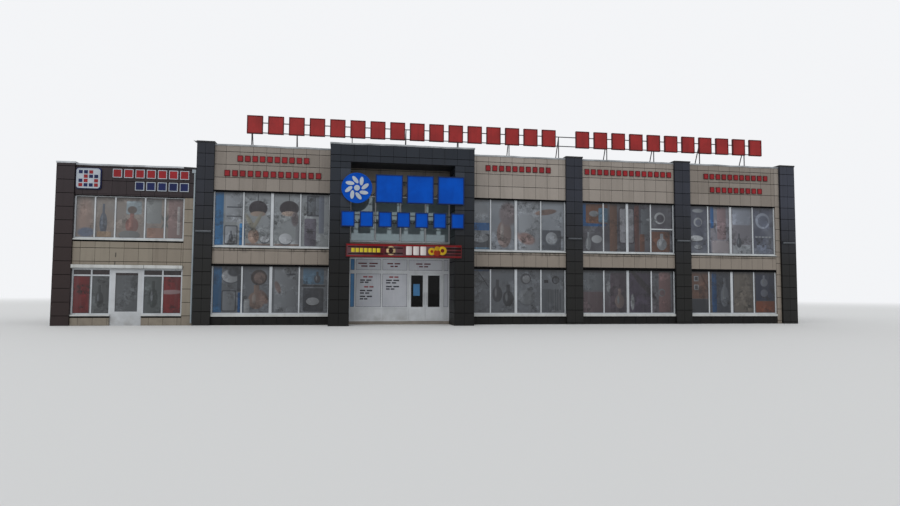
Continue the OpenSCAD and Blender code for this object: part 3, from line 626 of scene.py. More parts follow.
# %% [markdown]
# ## Tiles
# The cladding is a rain screen: porcelain slabs 600 mm square on a hidden grid, with open
# joints of a few millimetres. A texture could draw the lines, but real slabs give the
# joints true depth from every side. The edges of the slabs and the floor of each joint get
# a near-black finish, which is painted shade for the dark open cavity behind the slabs.
# So each wall starts as one plane, is bisected along its joints, and every face is inset
# by half a joint and pushed out, which makes a slab with its own edges. The upper edge of
# each slab is then lowered a little, because on the real wall the level joints are wider
# and darker than the upright ones. A tone per slab is kept in an attribute for the material.

# %% Tile a wall
TILE = 0.605
GAP, SHADOW_GAP, PROUD = 0.010, 0.013, 0.010
random.seed(7)


def cut(point, normal):
    """Bisects everything along a plane."""
    bpy.ops.mesh.select_all(action="SELECT")
    bpy.ops.mesh.bisect(plane_co=point, plane_no=normal)


def steps(first, pitch, limit, least=0.04):
    """Places of the joints that keep clear of both ends."""
    places = [first % pitch + i * pitch for i in range(int(limit / pitch) + 2)]
    return [p for p in places if least < p < limit - least]


def tiled(foot, turn, width, height, columns, rows):
    """A tiled wall from its left foot, seen from outside; joints are measured from the foot."""
    along = Vector((math.cos(turn), math.sin(turn), 0))
    out = Vector((math.sin(turn), -math.cos(turn), 0))
    middle = foot + along * width / 2 + Vector((0, 0, height / 2)) + out * 0.001
    wall = added(bpy.ops.mesh.primitive_plane_add, "wall", (width, height, 1), size=1,
                 location=middle, rotation=(math.pi / 2, 0, turn))

    def is_front(face):
        return face.normal.dot(out) > 0.99

    def is_top_edge(edge):
        level = edge.verts[0].co.z
        below = any(is_front(f) and f.calc_center_median().z < level - 0.03
                    for f in edge.link_faces)
        return below and abs(edge.verts[1].co.z - level) < 0.001

    with editing(wall):
        for u in columns:
            cut(foot + along * u, along)
        for z in rows:
            cut(foot + Vector((0, 0, z)), (0, 0, 1))
        bpy.ops.mesh.select_all(action="SELECT")
        bpy.ops.mesh.inset(thickness=GAP / 2, depth=PROUD, use_individual=True)
        choose(wall, is_top_edge, "edges")
        bpy.ops.transform.translate(value=(0, 0, -SHADOW_GAP))
    # Slab edges and joint floors take the near-black joint finish: painted shade of the cavity.
    dress(wall, "dark_tile", "joint")
    tone = wall.data.attributes.new("tile_tone", "FLOAT", "FACE")
    for face in wall.data.polygons:
        face.material_index = 0 if is_front(face) else 1
        tone.data[face.index].value = random.random()
    return wall


print("joint", GAP, "m, tiles stand out", PROUD, "m")

# %% [markdown]
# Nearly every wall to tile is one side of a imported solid. Foot, width and height could be
# typed in for each; the second helper reads them from the solid, so the tiles fit their
# wall exactly. The tiled walls of one material are then joined and closed at the back.

# %% Tile the side of a solid
SIDES = {"front": 0, "right": math.pi / 2, "back": math.pi, "left": -math.pi / 2}
BACKING = 0.012


def tiled_side(box, side, first_column=None, row=None, pitch=TILE, cut_low=0.0, cut_high=0.0,
               reach=0.0):
    """Tiles a side of a solid; row is the height of a joint, the cuts leave the ends bare."""
    low, high = box
    turn = SIDES[side]
    foot = Vector((high.x if side in ("right", "back") else low.x,
                   high.y if side in ("back", "left") else low.y, low.z))
    foot += Vector((math.cos(turn), math.sin(turn), 0)) * (cut_low - reach)
    width = (high - low)[0 if side in ("front", "back") else 1] - cut_low - cut_high + 2 * reach
    height = high.z - low.z
    columns = [] if first_column is None else steps(first_column + reach, pitch, width)
    levels = [] if row is None else steps(row - low.z, TILE, height)
    return tiled(foot, turn, width, height, columns, levels)


def raised(wall, amount):
    """Lifts the tones of all the tiles of a wall."""
    for mark in wall.data.attributes["tile_tone"].data:
        mark.value += amount
    return wall


def clad(name, walls, material, slot=None):
    """Joins tiled walls, closes them at the back and mounts them."""
    piece = dress(joined(name, walls), material, "joint")
    pick(piece)
    backing = piece.modifiers.new("backing", "SOLIDIFY")
    backing.thickness, backing.offset = BACKING, -1
    bpy.ops.object.modifier_apply(modifier="backing")
    mount(piece, slot or material)


print("sides that can be tiled:", *SIDES)

# %% [markdown]
# The pilasters run from the ground to above the parapet. Each shows its front and the two
# narrow returns beside the windows; the corner pilaster also shows its whole right side.
# Their tiles are halved by one joint down the middle. Towards the right end the batches
# of tiles are lighter, so the tones are raised a little from pilaster to pilaster. Whole
# sides could be tiled; the parts buried in the walls stay bare, so no tile lies in another.

# %% Pilaster tiles
PILASTER_DEEP = 0.5
BURIED = PILASTER_DEEP - (solids("parapet_panels")[0][0].y - corner.y)
ROW, CORNER_ROW = 7.365, 7.285
BATCHES = [0, 0.6, 0.9, 3.0]
BACK_LINE = 11.9
walls = []
front_row = solids("front_pilasters")
for i, box in enumerate(front_row):
    row = ROW if i else CORNER_ROW
    behind = BURIED if i < len(front_row) - 1 else 0
    walls += [raised(tiled_side(box, "front", wide(box) / 2, row, reach=PROUD), BATCHES[i]),
              tiled_side(box, "right", None, row, cut_high=behind),
              tiled_side(box, "left", None, row, cut_low=BURIED)]
clad("front_pilaster_tiles", walls, "dark_tile")

walls = []
for box in solids("rear_pilasters"):
    if box[1].y > corner.y + BACK_LINE:
        at_wing, at_end = box[0].x < cad_low.x + 7, box[1].x > cad_high.x - 0.1
        walls += [tiled_side(box, "back", wide(box) / 2, ROW, reach=PROUD),
                  tiled_side(box, "right", None, ROW, cut_low=0 if at_end else BURIED),
                  tiled_side(box, "left", None, ROW, cut_high=0 if at_wing else BURIED)]
    else:
        middle = (box[1].y - box[0].y) / 2
        walls += [tiled_side(box, "right", middle, ROW, reach=PROUD),
                  tiled_side(box, "front", None, ROW, cut_low=BURIED),
                  tiled_side(box, "back", None, ROW, cut_high=BURIED)]
clad("rear_pilaster_tiles", walls, "dark_tile")

# %% [markdown]
# The beige panels fill the bays above and between the windows. On the real front the
# vertical joints don't run through from bay to bay: every bay was set out from its own
# starting tile. One grid over the whole front would be simpler, but its joints would miss
# the real ones, so the first joint of each front bay was measured and is kept here.

# %% Panel tiles
FIRST_JOINT = [0.518, 0.343, 0.401, 0.520]
SIDE_JOINT = 0.3
PANEL_ROW, NARROW_ROW = 8.034, 3.44
FRONT_DEPTH, RIGHT_END, LEFT_END = 0.6, 30, -5
BAY_ENDS = (6.1, 18, 24)


def outward(box):
    """The side of a wall panel that looks outside."""
    middle = (box[0] + box[1]) / 2 - corner
    if middle.y < FRONT_DEPTH:
        return "front"
    if middle.x > RIGHT_END:
        return "right"
    return "left" if middle.x < LEFT_END else "back"


def bay_number(box):
    """0 to 3 for the front bays, from left to right."""
    x = (box[0] + box[1]).x / 2 - corner.x
    return sum(x > end for end in BAY_ENDS)


for name, packed, material, row, batches in (
        ("parapet_tiles", "parapet_panels", "beige_tile", PANEL_ROW, (-1.0, 0.8, 0, -1.4)),
        ("spandrel_tiles", "spandrel_panels", "beige_tile", NARROW_ROW, (0, 0, -1.6, -1.8)),
        ("plinth_slabs", "plinth_panels", "plinth_stone", None, (0, 0, 0, 0))):
    walls = []
    for box in solids(packed):
        side, bay = outward(box), bay_number(box)
        wall = tiled_side(box, side, FIRST_JOINT[bay] if side == "front" else SIDE_JOINT, row)
        walls.append(raised(wall, batches[bay]) if side == "front" else wall)
    clad(name, walls, material)
pier, *strips = solids("wall_strips")
walls = [tiled_side(box, "front", None, PANEL_ROW) for box in strips]
walls.append(tiled_side(solids("party_wall")[0], "left", SIDE_JOINT, PANEL_ROW))
clad("strip_tiles", walls, "beige_tile")

# %% [markdown]
# Where a wall panel ends over a window, a folded drip edge closes its cavity and throws
# the rain off. From below it is the dark line between the panel and the glass. Its
# near-black finish is painted shadow: on the main block it hangs 72 mm below the panel,
# over the head of the window frame, and over the low windows of the front it also covers
# the lowest band of the panel, where the head lies in shade. A line in the tiles' material
# could imitate it, but a real strip also throws its shadow.

# %% Drip edges
OUT = {"front": (0, -1), "right": (1, 0), "back": (0, 1), "left": (-1, 0)}
# Painted shadow: how far the black strip covers each bay's panel, and how far it hangs.
HEAD_SHADOW_COVER, OTHER_COVER = [0.028, 0.04, 0.075, 0.05], 0.004
DROP, WING_DROP, SPANDRELS_BELOW = 0.072, 0.03, 4


def on_wing(low):
    """Whether the solid with this lowest corner stands left of the main block."""
    return low.x < corner.x - 0.1


def drip(name, low, high, side):
    """A folded strip under a panel, near black as painted shadow; over the low windows it
    covers more of the panel as painted shadow.
    """
    deep = side == "front" and low.z < SPANDRELS_BELOW and not on_wing(low)
    cover = HEAD_SHADOW_COVER[bay_number((low, high))] if deep else OTHER_COVER
    start = Vector((low.x, low.y, low.z - (WING_DROP if on_wing(low) else DROP)))
    end = Vector((high.x, high.y, low.z + cover))
    axis = 0 if side in ("right", "left") else 1
    way = OUT[side][axis]
    face = (high if way > 0 else low)[axis]
    start[axis], end[axis] = sorted((face + way * 0.014, face - way * 0.05))
    return soften(block(name, start, end), 0.003)


panels = [b for n in ("parapet_panels", "spandrel_panels", "wing_sign_band") for b in solids(n)]
panels += [b for b in solids("wing_panels") if b[0].z > 1 and outward(b) != "front"]
edges = [drip(f"drip_{i}", *box, outward(box)) for i, box in enumerate(panels)]
fix("drip_edges", edges, "head_metal", "dark_metal")

# %% [markdown]
# The portal is the tallest dark form: two legs and a beam in front of the facade. The
# upper tiles at the inner side of each leg are a shade lighter. That could be a second
# material; here their tone is set in the attribute that the material reads anyway.

# %% Portal tiles
PORTAL_ROW, BEAM_JOINT = 7.25, 0.46
HALF_LEG, LIGHTER_FROM, LIGHTER_TO, LIGHTER_TONE = 0.46, 4.2, 7.24, 3.5
RECESS_TILE, RECESS_ROW = 0.73, 6.88
left_leg, right_leg = solids("portal_legs")
walls = []
for leg in (left_leg, right_leg):
    wall = tiled_side(leg, "front", wide(leg) / 2, PORTAL_ROW, reach=PROUD)
    tone = wall.data.attributes["tile_tone"]
    for face in wall.data.polygons:
        inner = left_leg[0].x + HALF_LEG < face.center.x < right_leg[0].x + HALF_LEG
        if inner and LIGHTER_FROM < face.center.z < LIGHTER_TO and face.material_index == 0:
            tone.data[face.index].value = LIGHTER_TONE
    walls += [wall] + [tiled_side(leg, side, SIDE_JOINT, PORTAL_ROW) for side in ("left", "right")]
beam = solids("portal_beam")[0]
walls += [tiled_side(beam, "front", BEAM_JOINT, PORTAL_ROW, reach=PROUD),
          tiled_side(beam, "left", SIDE_JOINT, PORTAL_ROW, cut_low=BURIED),
          tiled_side(beam, "right", SIDE_JOINT, PORTAL_ROW, cut_high=BURIED)]
clad("portal_tiles", walls, "portal_tile", "dark_tile")
recess = [box for box in solids("recess_wall") if box[0].z > 1]
walls = [tiled_side(box, "front", RECESS_TILE, RECESS_ROW, pitch=RECESS_TILE) for box in recess]
clad("recess_tiles", walls, "recess_tile")

# %% [markdown]
# The wing looks like a later addition, in a warmer beige and with a brown corner column
# and sign band, but of the same square tiles. Its rows don't meet those of the main block,
# and the first upright joint lies a third of a metre from the column. So it is tiled with
# the same helper, but with numbers of its own.

# %% Wing tiles
WING_ROW, WING_JOINT = 7.094, 0.327
walls = []
for box in solids("wing_columns"):
    for side in ("front", "left", "back"):
        walls.append(tiled_side(box, side, None, WING_ROW, reach=PROUD if side == "left" else 0))
walls += [tiled_side(b, outward(b), WING_JOINT, WING_ROW) for b in solids("wing_sign_band")]
clad("wing_brown_tiles", walls, "brown_tile")
walls = [tiled_side(b, outward(b), WING_JOINT, WING_ROW) for b in solids("wing_panels")]
walls.append(tiled_side(pier, "front", None, WING_ROW))
clad("wing_beige_tiles", walls, "wing_tile")

# %% [markdown]
# ## Windows
# All the windows are covered from inside with printed film, so they read as large faded
# pictures behind clear glass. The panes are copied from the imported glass, a dark edge seal
# is inset into each, and the film is a material on the face inside it. The pictures here
# are plain still lifes: mirrors, vases, towels and basins in the same greys, blues and
# browns. Each motif is a soft patch, and a picture is a stack of patches.

# %% Patch group for prints
wall_place, given, result = group("wall_place", {"Shift": 0.0}, {"Along": 0.0, "Up": 0.0})
x, y, z = xyz(wall_place)
facing = node(wall_place, "NewGeometry").outputs["Normal"]
turn = sums(wall_place, "ABSOLUTE", node(wall_place, "SeparateXYZ", facing).outputs[0])
sideways = sums(wall_place, "GREATER_THAN", turn, 0.5)
across = sums(wall_place, "MULTIPLY_ADD", sideways, sums(wall_place, "SUBTRACT", y, x), x)
wire(wall_place, sums(wall_place, "ADD", across, given["Shift"]), result["Along"])
wire(wall_place, z, result["Up"])

patch, given, result = group(
    "patch",
    {"Along": 0.0, "Up": 0.0, "Middle": 0.0, "Height": 0.0, "Half width": 1.0,
     "Half height": 1.0, "Corners": 2.0, "Soft": 0.1, "Lean": 0.0},
    {"Mask": 0.0, "Side": 0.0})
rise = sums(patch, "SUBTRACT", given["Up"], given["Height"])
reach = sums(patch, "SUBTRACT", given["Along"], given["Middle"])
reach = sums(patch, "MULTIPLY_ADD", rise, given["Lean"], reach)
reach = sums(patch, "DIVIDE", reach, given["Half width"])
wire(patch, sums(patch, "MULTIPLY_ADD", reach, 0.5, 0.5, clamp=True), result["Side"])
rise = sums(patch, "DIVIDE", rise, given["Half height"])
powers = [sums(patch, "POWER", sums(patch, "ABSOLUTE", share), given["Corners"])
          for share in (reach, rise)]
outer = sums(patch, "ADD", 1.0, given["Soft"])
inner = sums(patch, "SUBTRACT", 1.0, given["Soft"])
wire(patch, spread(patch, sums(patch, "ADD", *powers), outer, inner), result["Mask"])
print("patch group:", len(patch.nodes), "nodes")

# %% [markdown]
# A photograph of a room is never as clean as a drawing: shelves, boxes, tiles and folds
# break every surface into small steps of light and dark. A second group imitates that
# with two Voronoi patterns. Measured with the Chebychev distance their cells are upright
# rectangles, and a slow noise decides where they are busy and where the wall stays calm.

# %% Clutter group for prints
clutter, given, result = group(
    "clutter", {"Along": 0.0, "Up": 0.0, "Strength": 0.3}, {"Tone": 1.0})
spot = node(clutter, "CombineXYZ", given["Along"], given["Up"]).outputs[0]
busy = node(clutter, "TexNoise", spot, Scale=1.1, Detail=2.0).outputs[0]
busy = spread(clutter, busy, 0.42, 0.6)
tone = 0.0
for size, share in ((2.1, 0.9), (6.5, 0.8), (17.0, 0.5)):
    setup = {"feature": "F1", "distance": "CHEBYCHEV"}
    cells = node(clutter, "TexVoronoi", spot, Scale=size, setup=setup).outputs["Color"]
    level = node(clutter, "SeparateColor", cells).outputs[0]
    step = product(clutter, sums(clutter, "SUBTRACT", level, 0.5), share, busy)
    tone = sums(clutter, "ADD", step, tone)
wire(clutter, sums(clutter, "MULTIPLY_ADD", tone, given["Strength"], 1.0), result["Tone"])
print("clutter group:", len(clutter.nodes), "nodes")

# %% [markdown]
# A motif is a list of such patches in metres along the wall, from back to front. An oval
# has round corners and a sheet square ones; mirrors, vases and basins are stacks of them.
# Image files could hold such drawings, but patches need no file and stay sharp close up.

# %% Motifs
def oval(u, v, ru, rv, colour, soft=0.18, lean=0.0, corners=2.0):
    return [(u, v, ru, rv, colour, corners, soft, lean)]


def sheet(u0, v0, u1, v1, colour, soft=0.12):
    middle = (u0 + u1) / 2, (v0 + v1) / 2
    return oval(*middle, abs(u1 - u0) / 2, abs(v1 - v0) / 2, colour, soft, corners=14.0)


def framed(u0, v0, u1, v1, rim, inside):
    inner = u0 + 0.05, v0 + 0.05, u1 - 0.05, v1 - 0.05
    return sheet(u0, v0, u1, v1, rim) + sheet(*inner, inside)


def mirror(u, v, r, rim, glass):
    return oval(u, v, r, r, rim, 0.08) + oval(u + 0.03, v - 0.02, r * 0.72, r * 0.72, glass, 0.25)


def vase(u, v, wide, tall, colour, light):
    neck = u - wide * 0.16, v + tall * 0.55, u + wide * 0.16, v + tall
    return (oval(u, v + tall * 0.35, wide / 2, tall * 0.36, colour, 0.1) + sheet(*neck, colour)
            + oval(u - wide * 0.14, v + tall * 0.42, wide * 0.12, tall * 0.2, light, 0.6))


def basin(u, v, wide, tall, colour, shadow):
    return (oval(u, v - 0.05, wide / 2, tall / 2, shadow, 0.3)
            + oval(u, v, wide / 2, tall / 2, colour, 0.1))


def tiles_of(u0, v0, u1, v1, colour, count):
    wide = (u1 - u0) / count
    return [p for i in range(count)
            for p in sheet(u0 + i * wide, v0, u0 + (i + 0.8) * wide, v1, colour)]


print("a mirror takes", len(mirror(0, 0, 1, "#ffffff", "#000000")), "patches")

# %% [markdown]
# The film's shader walks through such a list and lays each patch over the last one, a
# little lighter at its left end than at its right, so that flat shapes look round. Under
# a window's head the print is darker, because the panel above it keeps the light off.

# %% Printed film
HEAD_SHADE = 0.32
STOREYS = {"upper": (4.9, solids("upper_window_frames")[0][1].z),
           "lower": (1.7, solids("lower_window_frames")[0][1].z)}


def printed(name, top, bottom, motifs, middle, dim=1.0, rough=0.12, busy=0.0, haze=0.0,
            sheen=0.5, head=None):
    """Printed film under clear glass: a soft two-tone ground with shaded patches on it."""
    tree, shader = new_material(name)
    where = placed(tree, wall_place, Shift=-corner.x)
    at = {"Along": where["Along"], "Up": where["Up"]}
    fade = spread(tree, at["Up"], middle - 1.3, middle + 1.3)
    colour = mixed(tree, fade, hue(bottom, dim), hue(top, dim))
    cloudy = spread(tree, noise(tree, 0.9, (1, 1, 1), 2), 0.35, 0.7, 0.0, 0.35)
    colour = mixed(tree, cloudy, colour, hue("#8a8f96", dim))
    for u, v, half_width, half_height, tint, corners, soft, lean in motifs:
        mark = placed(tree, patch, **at, Middle=u, Height=v, Half_width=half_width,
                      Half_height=half_height, Corners=corners, Soft=soft, Lean=lean)
        lit = mixed(tree, mark["Side"], hue(tint, dim * 1.15), hue(tint, dim * 0.72))
        colour = mixed(tree, mark["Mask"], colour, lit)
    if haze:
        colour = mixed(tree, haze, colour, hue("#8d8a88", dim))
    if busy:
        colour = scaled(tree, colour, placed(tree, clutter, **at, Strength=busy)["Tone"])
    if head:
        shade = spread(tree, at["Up"], head - HEAD_SHADE, head, 0.0, 0.85)
        colour = mixed(tree, shade, colour, hue("#101114"))
    worn = placed(tree, weather, Colour=colour, Dirt=hue("#5f6062"), Streaks=0.18, Splash=0.2,
                  Mottle=0.08)
    gloss = sums(tree, "MULTIPLY_ADD", worn["Mask"], 0.3, rough)
    feed(tree, shader, Base_Color=worn["Colour"], Roughness=gloss, Specular_IOR_Level=sheen)


def picture(storey, number, top, bottom, dim, motifs):
    """The print of one window of the front."""
    middle, head = STOREYS[storey]
    name = f"print_{storey}_{number}"
    printed(name, top, bottom, motifs, middle, dim, busy=0.9, head=head)
    print(name, len(motifs), "patches")


print("film on the storeys:", *STOREYS)

# %% [markdown]
# Now the pictures, one per window of the front. Each keeps the big colour areas that the
# real film shows at that place, such as the blue strip at the left end of a bay or the
# dark panes near the right corner, and fills them with its own quiet arrangement.

# %% Pictures of the upper windows
STRIP = "#2c6898"
GREY, PALE, WHITE, SHADE, NIGHT = "#646a71", "#868b91", "#a9adb2", "#43474f", "#2a2c33"
BLUE, SKY, ROSE, CLAY, PLUM = "#1d568c", "#587992", "#82716f", "#6c5145", "#3d343f"

picture("upper", 1, "#82878a", "#7b8082", 0.68, (
    sheet(0.75, 3.5, 1.2, 6.3, STRIP) + sheet(1.28, 4.75, 2.05, 6.1, PALE)
    + sheet(1.34, 5.42, 2.0, 5.48, SHADE) + sheet(1.34, 5.0, 2.0, 5.05, SHADE)
    + framed(1.24, 3.72, 1.84, 4.6, SHADE, PALE) + vase(1.55, 3.85, 0.2, 0.5, SHADE, GREY)
    + sheet(1.92, 3.6, 2.16, 4.7, STRIP) + sheet(2.72, 5.7, 2.75, 6.3, NIGHT)
    + oval(2.74, 5.42, 0.42, 0.36, "#2f2b30", 0.12) + oval(2.74, 5.16, 0.34, 0.12, "#8b7d74", 0.3)
    + sheet(2.2, 3.6, 3.36, 3.78, "#6d625e", 0.2)
    + vase(2.55, 3.78, 0.5, 0.95, "#8b7468", "#a08c80")
    + basin(3.05, 3.98, 0.42, 0.3, WHITE, SHADE) + oval(2.4, 4.75, 0.12, 0.4, "#7f7d72", 0.6, 0.5)
    + oval(2.7, 4.8, 0.1, 0.42, "#7f7d72", 0.6, -0.5) + sheet(4.13, 5.75, 4.16, 6.3, NIGHT)
    + oval(4.15, 5.45, 0.44, 0.36, "#302c31", 0.12) + oval(4.15, 5.2, 0.35, 0.12, "#8b7d74", 0.3)
    + sheet(3.5, 3.6, 4.72, 3.78, "#6d625e", 0.2) + basin(4.0, 4.02, 0.6, 0.5, WHITE, SHADE)
    + sheet(4.45, 3.8, 4.66, 4.75, "#6f7276", 0.3) + oval(4.42, 4.95, 0.16, 0.34, "#5c5558", 0.5)
    + sheet(4.95, 5.1, 5.7, 6.1, SHADE) + sheet(5.03, 5.18, 5.32, 6.02, GREY)
    + sheet(5.36, 5.18, 5.62, 6.02, GREY) + sheet(4.86, 3.7, 5.4, 5.0, "#55525d")
    + sheet(4.92, 4.36, 5.34, 4.4, NIGHT) + sheet(5.52, 4.3, 5.76, 6.1, "#646b78", 0.3)))
picture("upper", 2, "#7b8188", "#6a7078", 0.66, (
    sheet(12.8, 3.55, 13.8, 4.45, SHADE, 0.4) + sheet(12.8, 4.62, 13.85, 5.0, BLUE, 0.3)
    + basin(13.35, 4.25, 0.8, 0.45, PALE, SHADE) + oval(13.3, 5.6, 0.45, 0.4, PALE, 0.5)
    + sheet(12.8, 3.5, 13.85, 3.78, SKY) + vase(14.55, 3.8, 0.75, 1.9, "#756866", "#8f8886")
    + oval(14.75, 5.45, 0.45, 0.6, "#6b6366", 0.45)
    + oval(15.75, 4.3, 0.5, 0.36, "#857370", 0.3, 0.5) + sheet(15.3, 3.55, 16.35, 6.2, PALE, 0.9)
    + oval(15.7, 4.25, 0.42, 0.3, "#86716e", 0.4, 0.4)
    + oval(16.7, 5.6, 0.5, 0.16, "#6e5d58", 0.3, -1.6) + sheet(16.5, 3.7, 17.5, 4.7, SHADE, 0.5)
    + basin(17.0, 4.3, 0.6, 0.6, PALE, GREY)))
picture("upper", 3, "#4d4b55", "#45434c", 0.43, (
    sheet(18.57, 4.95, 19.9, 6.25, BLUE, 0.1) + sheet(18.82, 5.1, 20.0, 6.1, "#74503f")
    + sheet(19.5, 5.15, 20.0, 5.9, SKY, 0.5) + basin(19.25, 5.6, 0.5, 0.3, PALE, CLAY)
    + oval(19.4, 4.3, 0.28, 0.2, WHITE, 0.2) + vase(18.95, 3.75, 0.3, 0.9, PALE, WHITE)
    + sheet(20.1, 3.6, 20.5, 6.2, CLAY, 0.5) + framed(20.6, 4.1, 21.45, 5.95, PLUM, "#8f9097")
    + sheet(21.45, 3.6, 21.7, 6.2, "#5f3d39", 0.4) + sheet(21.8, 4.6, 22.25, 5.9, GREY, 0.2)
    + sheet(21.72, 3.7, 22.0, 4.6, "#6c4a3d") + mirror(22.85, 5.45, 0.3, WHITE, "#4d4b55")
    + oval(22.4, 5.35, 0.3, 0.08, PALE, 0.3, 0.5) + sheet(22.35, 3.7, 23.4, 4.75, "#6b4738", 0.2)
    + vase(22.95, 3.8, 0.55, 0.85, PALE, WHITE)))
picture("upper", 4, "#474b5a", "#3f4454", 0.66, (
    oval(25.0, 5.9, 0.3, 0.1, PALE, 0.4) + mirror(25.0, 5.3, 0.24, "#8b9096", "#5b6070")
    + basin(24.9, 4.45, 0.75, 0.3, WHITE, SHADE) + basin(25.0, 4.0, 0.45, 0.22, PALE, SHADE)
    + sheet(25.72, 3.6, 28.1, 6.3, "#727179", 0.2) + sheet(25.72, 5.0, 25.9, 6.15, BLUE)
    + oval(26.35, 5.6, 0.2, 0.26, WHITE, 0.5) + sheet(25.8, 3.6, 26.85, 4.35, "#8a8488", 0.4)
    + sheet(26.1, 4.4, 26.6, 6.2, "#7f6d72", 0.6) + sheet(27.0, 3.6, 28.05, 4.15, PALE, 0.5)
    + vase(27.35, 4.0, 0.3, 0.75, SHADE, GREY) + sheet(26.98, 5.2, 28.05, 6.2, "#7d838f", 0.6)
    + mirror(28.75, 5.45, 0.42, "#7f8694", "#565c6c") + oval(28.75, 4.0, 0.35, 0.3, "#5d6474", 0.6)
    + tiles_of(28.3, 4.55, 29.3, 4.62, PALE, 5)))
print("upper prints ready")

# %% [markdown]
# The lower film carries arrangements of the same kind, but is printed about half as
# bright as the upper one; that smaller factor is painted shade on the lower storey. Darker
# glass could do that; a smaller factor in the print does it too and leaves the shine of
# the pane as it is.

# %% Pictures of the lower windows
# The factor near 0.3 for the lower prints is painted shade.
picture("lower", 1, "#6b7077", "#747980", 0.36, (
    sheet(0.75, 0.5, 1.2, 2.8, STRIP) + basin(1.6, 2.25, 0.8, 0.6, WHITE, SHADE)
    + oval(1.75, 2.45, 0.3, 0.22, SHADE, 0.4) + framed(1.2, 0.62, 1.85, 1.6, SHADE, PALE)
    + sheet(1.92, 0.55, 2.15, 1.5, BLUE) + sheet(1.88, 1.55, 2.15, 2.3, SHADE)
    + mirror(2.85, 2.2, 0.36, "#4a4140", "#82706a")
    + vase(2.75, 0.75, 0.75, 1.1, "#8d7970", "#a59a94")
    + oval(3.05, 1.3, 0.2, 0.32, "#7d675f", 0.4, 0.4) + sheet(2.2, 0.56, 2.45, 1.2, WHITE, 0.5)
    + sheet(3.55, 0.6, 4.6, 2.7, "#8b9096", 0.5) + oval(3.7, 1.75, 0.12, 0.28, ROSE, 0.4, 0.3)
    + oval(4.3, 2.35, 0.22, 0.05, SHADE, 0.3, -1.0) + sheet(4.85, 1.9, 5.8, 2.68, SKY, 0.3)
    + vase(5.5, 1.95, 0.3, 0.55, SHADE, PALE) + sheet(4.78, 1.78, 5.88, 1.86, NIGHT)
    + sheet(4.85, 0.62, 5.8, 1.72, SHADE, 0.2) + basin(5.3, 1.1, 0.6, 0.36, WHITE, NIGHT)))
picture("lower", 2, "#747a82", "#7d828a", 0.31, (
    sheet(12.8, 2.6, 13.85, 2.8, BLUE) + oval(13.5, 2.2, 0.04, 0.4, SHADE, 0.3, 0.7)
    + sheet(12.8, 0.56, 13.1, 2.6, PALE, 0.5) + vase(14.2, 1.1, 0.5, 1.1, "#54565d", "#8d8f95")
    + vase(14.75, 0.9, 0.55, 1.05, "#4a4c53", PALE)
    + mirror(15.65, 2.25, 0.27, "#54565d", "#969a9f") + basin(15.7, 1.35, 0.85, 0.75, PALE, GREY)
    + sheet(16.4, 0.6, 17.0, 1.75, "#686d75", 0.2) + tiles_of(16.75, 0.7, 17.5, 1.72, "#63686f", 6)
    + mirror(17.2, 2.2, 0.2, NIGHT, "#5f646c") + sheet(16.6, 2.05, 16.82, 2.2, NIGHT)))
picture("lower", 3, "#6e747b", "#696068", 0.31, (
    sheet(18.57, 2.6, 23.5, 2.8, SHADE) + sheet(18.6, 1.7, 19.7, 2.6, "#7a8087")
    + sheet(18.6, 0.6, 19.7, 1.62, "#75646a", 0.3) + sheet(20.1, 0.6, 21.0, 2.6, "#544953", 0.4)
    + oval(20.0, 1.9, 0.1, 0.28, WHITE, 0.4) + vase(20.6, 0.8, 0.5, 1.0, ROSE, PALE)
    + sheet(21.15, 0.6, 22.3, 2.65, "#51485a", 0.3)
    + oval(21.9, 2.0, 0.2, 0.75, "#3b343c", 0.3, 0.9) + oval(21.3, 1.1, 0.1, 0.4, WHITE, 0.4)
    + sheet(22.75, 0.6, 23.4, 2.65, "#86696a", 0.3) + mirror(22.9, 1.6, 0.2, PALE, "#7a6468")))
picture("lower", 4, "#5a5c66", "#5d5754", 0.31, (
    sheet(24.5, 1.3, 25.65, 2.7, "#7d5c4e") + framed(24.72, 2.2, 24.98, 2.48, WHITE, "#57555a")
    + framed(24.72, 1.75, 24.98, 2.03, WHITE, "#57555a") + sheet(24.5, 0.56, 25.65, 1.28, SHADE)
    + oval(25.35, 2.1, 0.06, 0.5, "#5f4034", 0.3, 0.5) + sheet(25.74, 0.56, 26.0, 2.7, BLUE)
    + sheet(26.0, 0.56, 26.95, 2.7, "#4a4f5a", 0.2) + vase(26.45, 0.9, 0.45, 1.5, "#777d87", PALE)
    + sheet(27.0, 0.56, 28.1, 2.75, "#7d756c", 0.2) + sheet(28.25, 1.2, 29.4, 2.75, "#343b52", 0.1)
    + vase(28.75, 1.95, 0.42, 0.6, "#7d8390", PALE)
    + basin(28.75, 1.6, 0.42, 0.4, "#6d7382", NIGHT)
    + sheet(28.25, 0.56, 29.4, 1.18, "#8a4a30", 0.2)))
print("lower prints ready")

# %% [markdown]
# The wing's prints are warmer, with red end panes below and a dark band under the shutter
# box, which is painted shade and a painted reflection in the transom panes. The windows at
# the back and the side aren't in the photograph. They could repeat the pictures of the
# front, but one plain print doesn't pretend to know more.

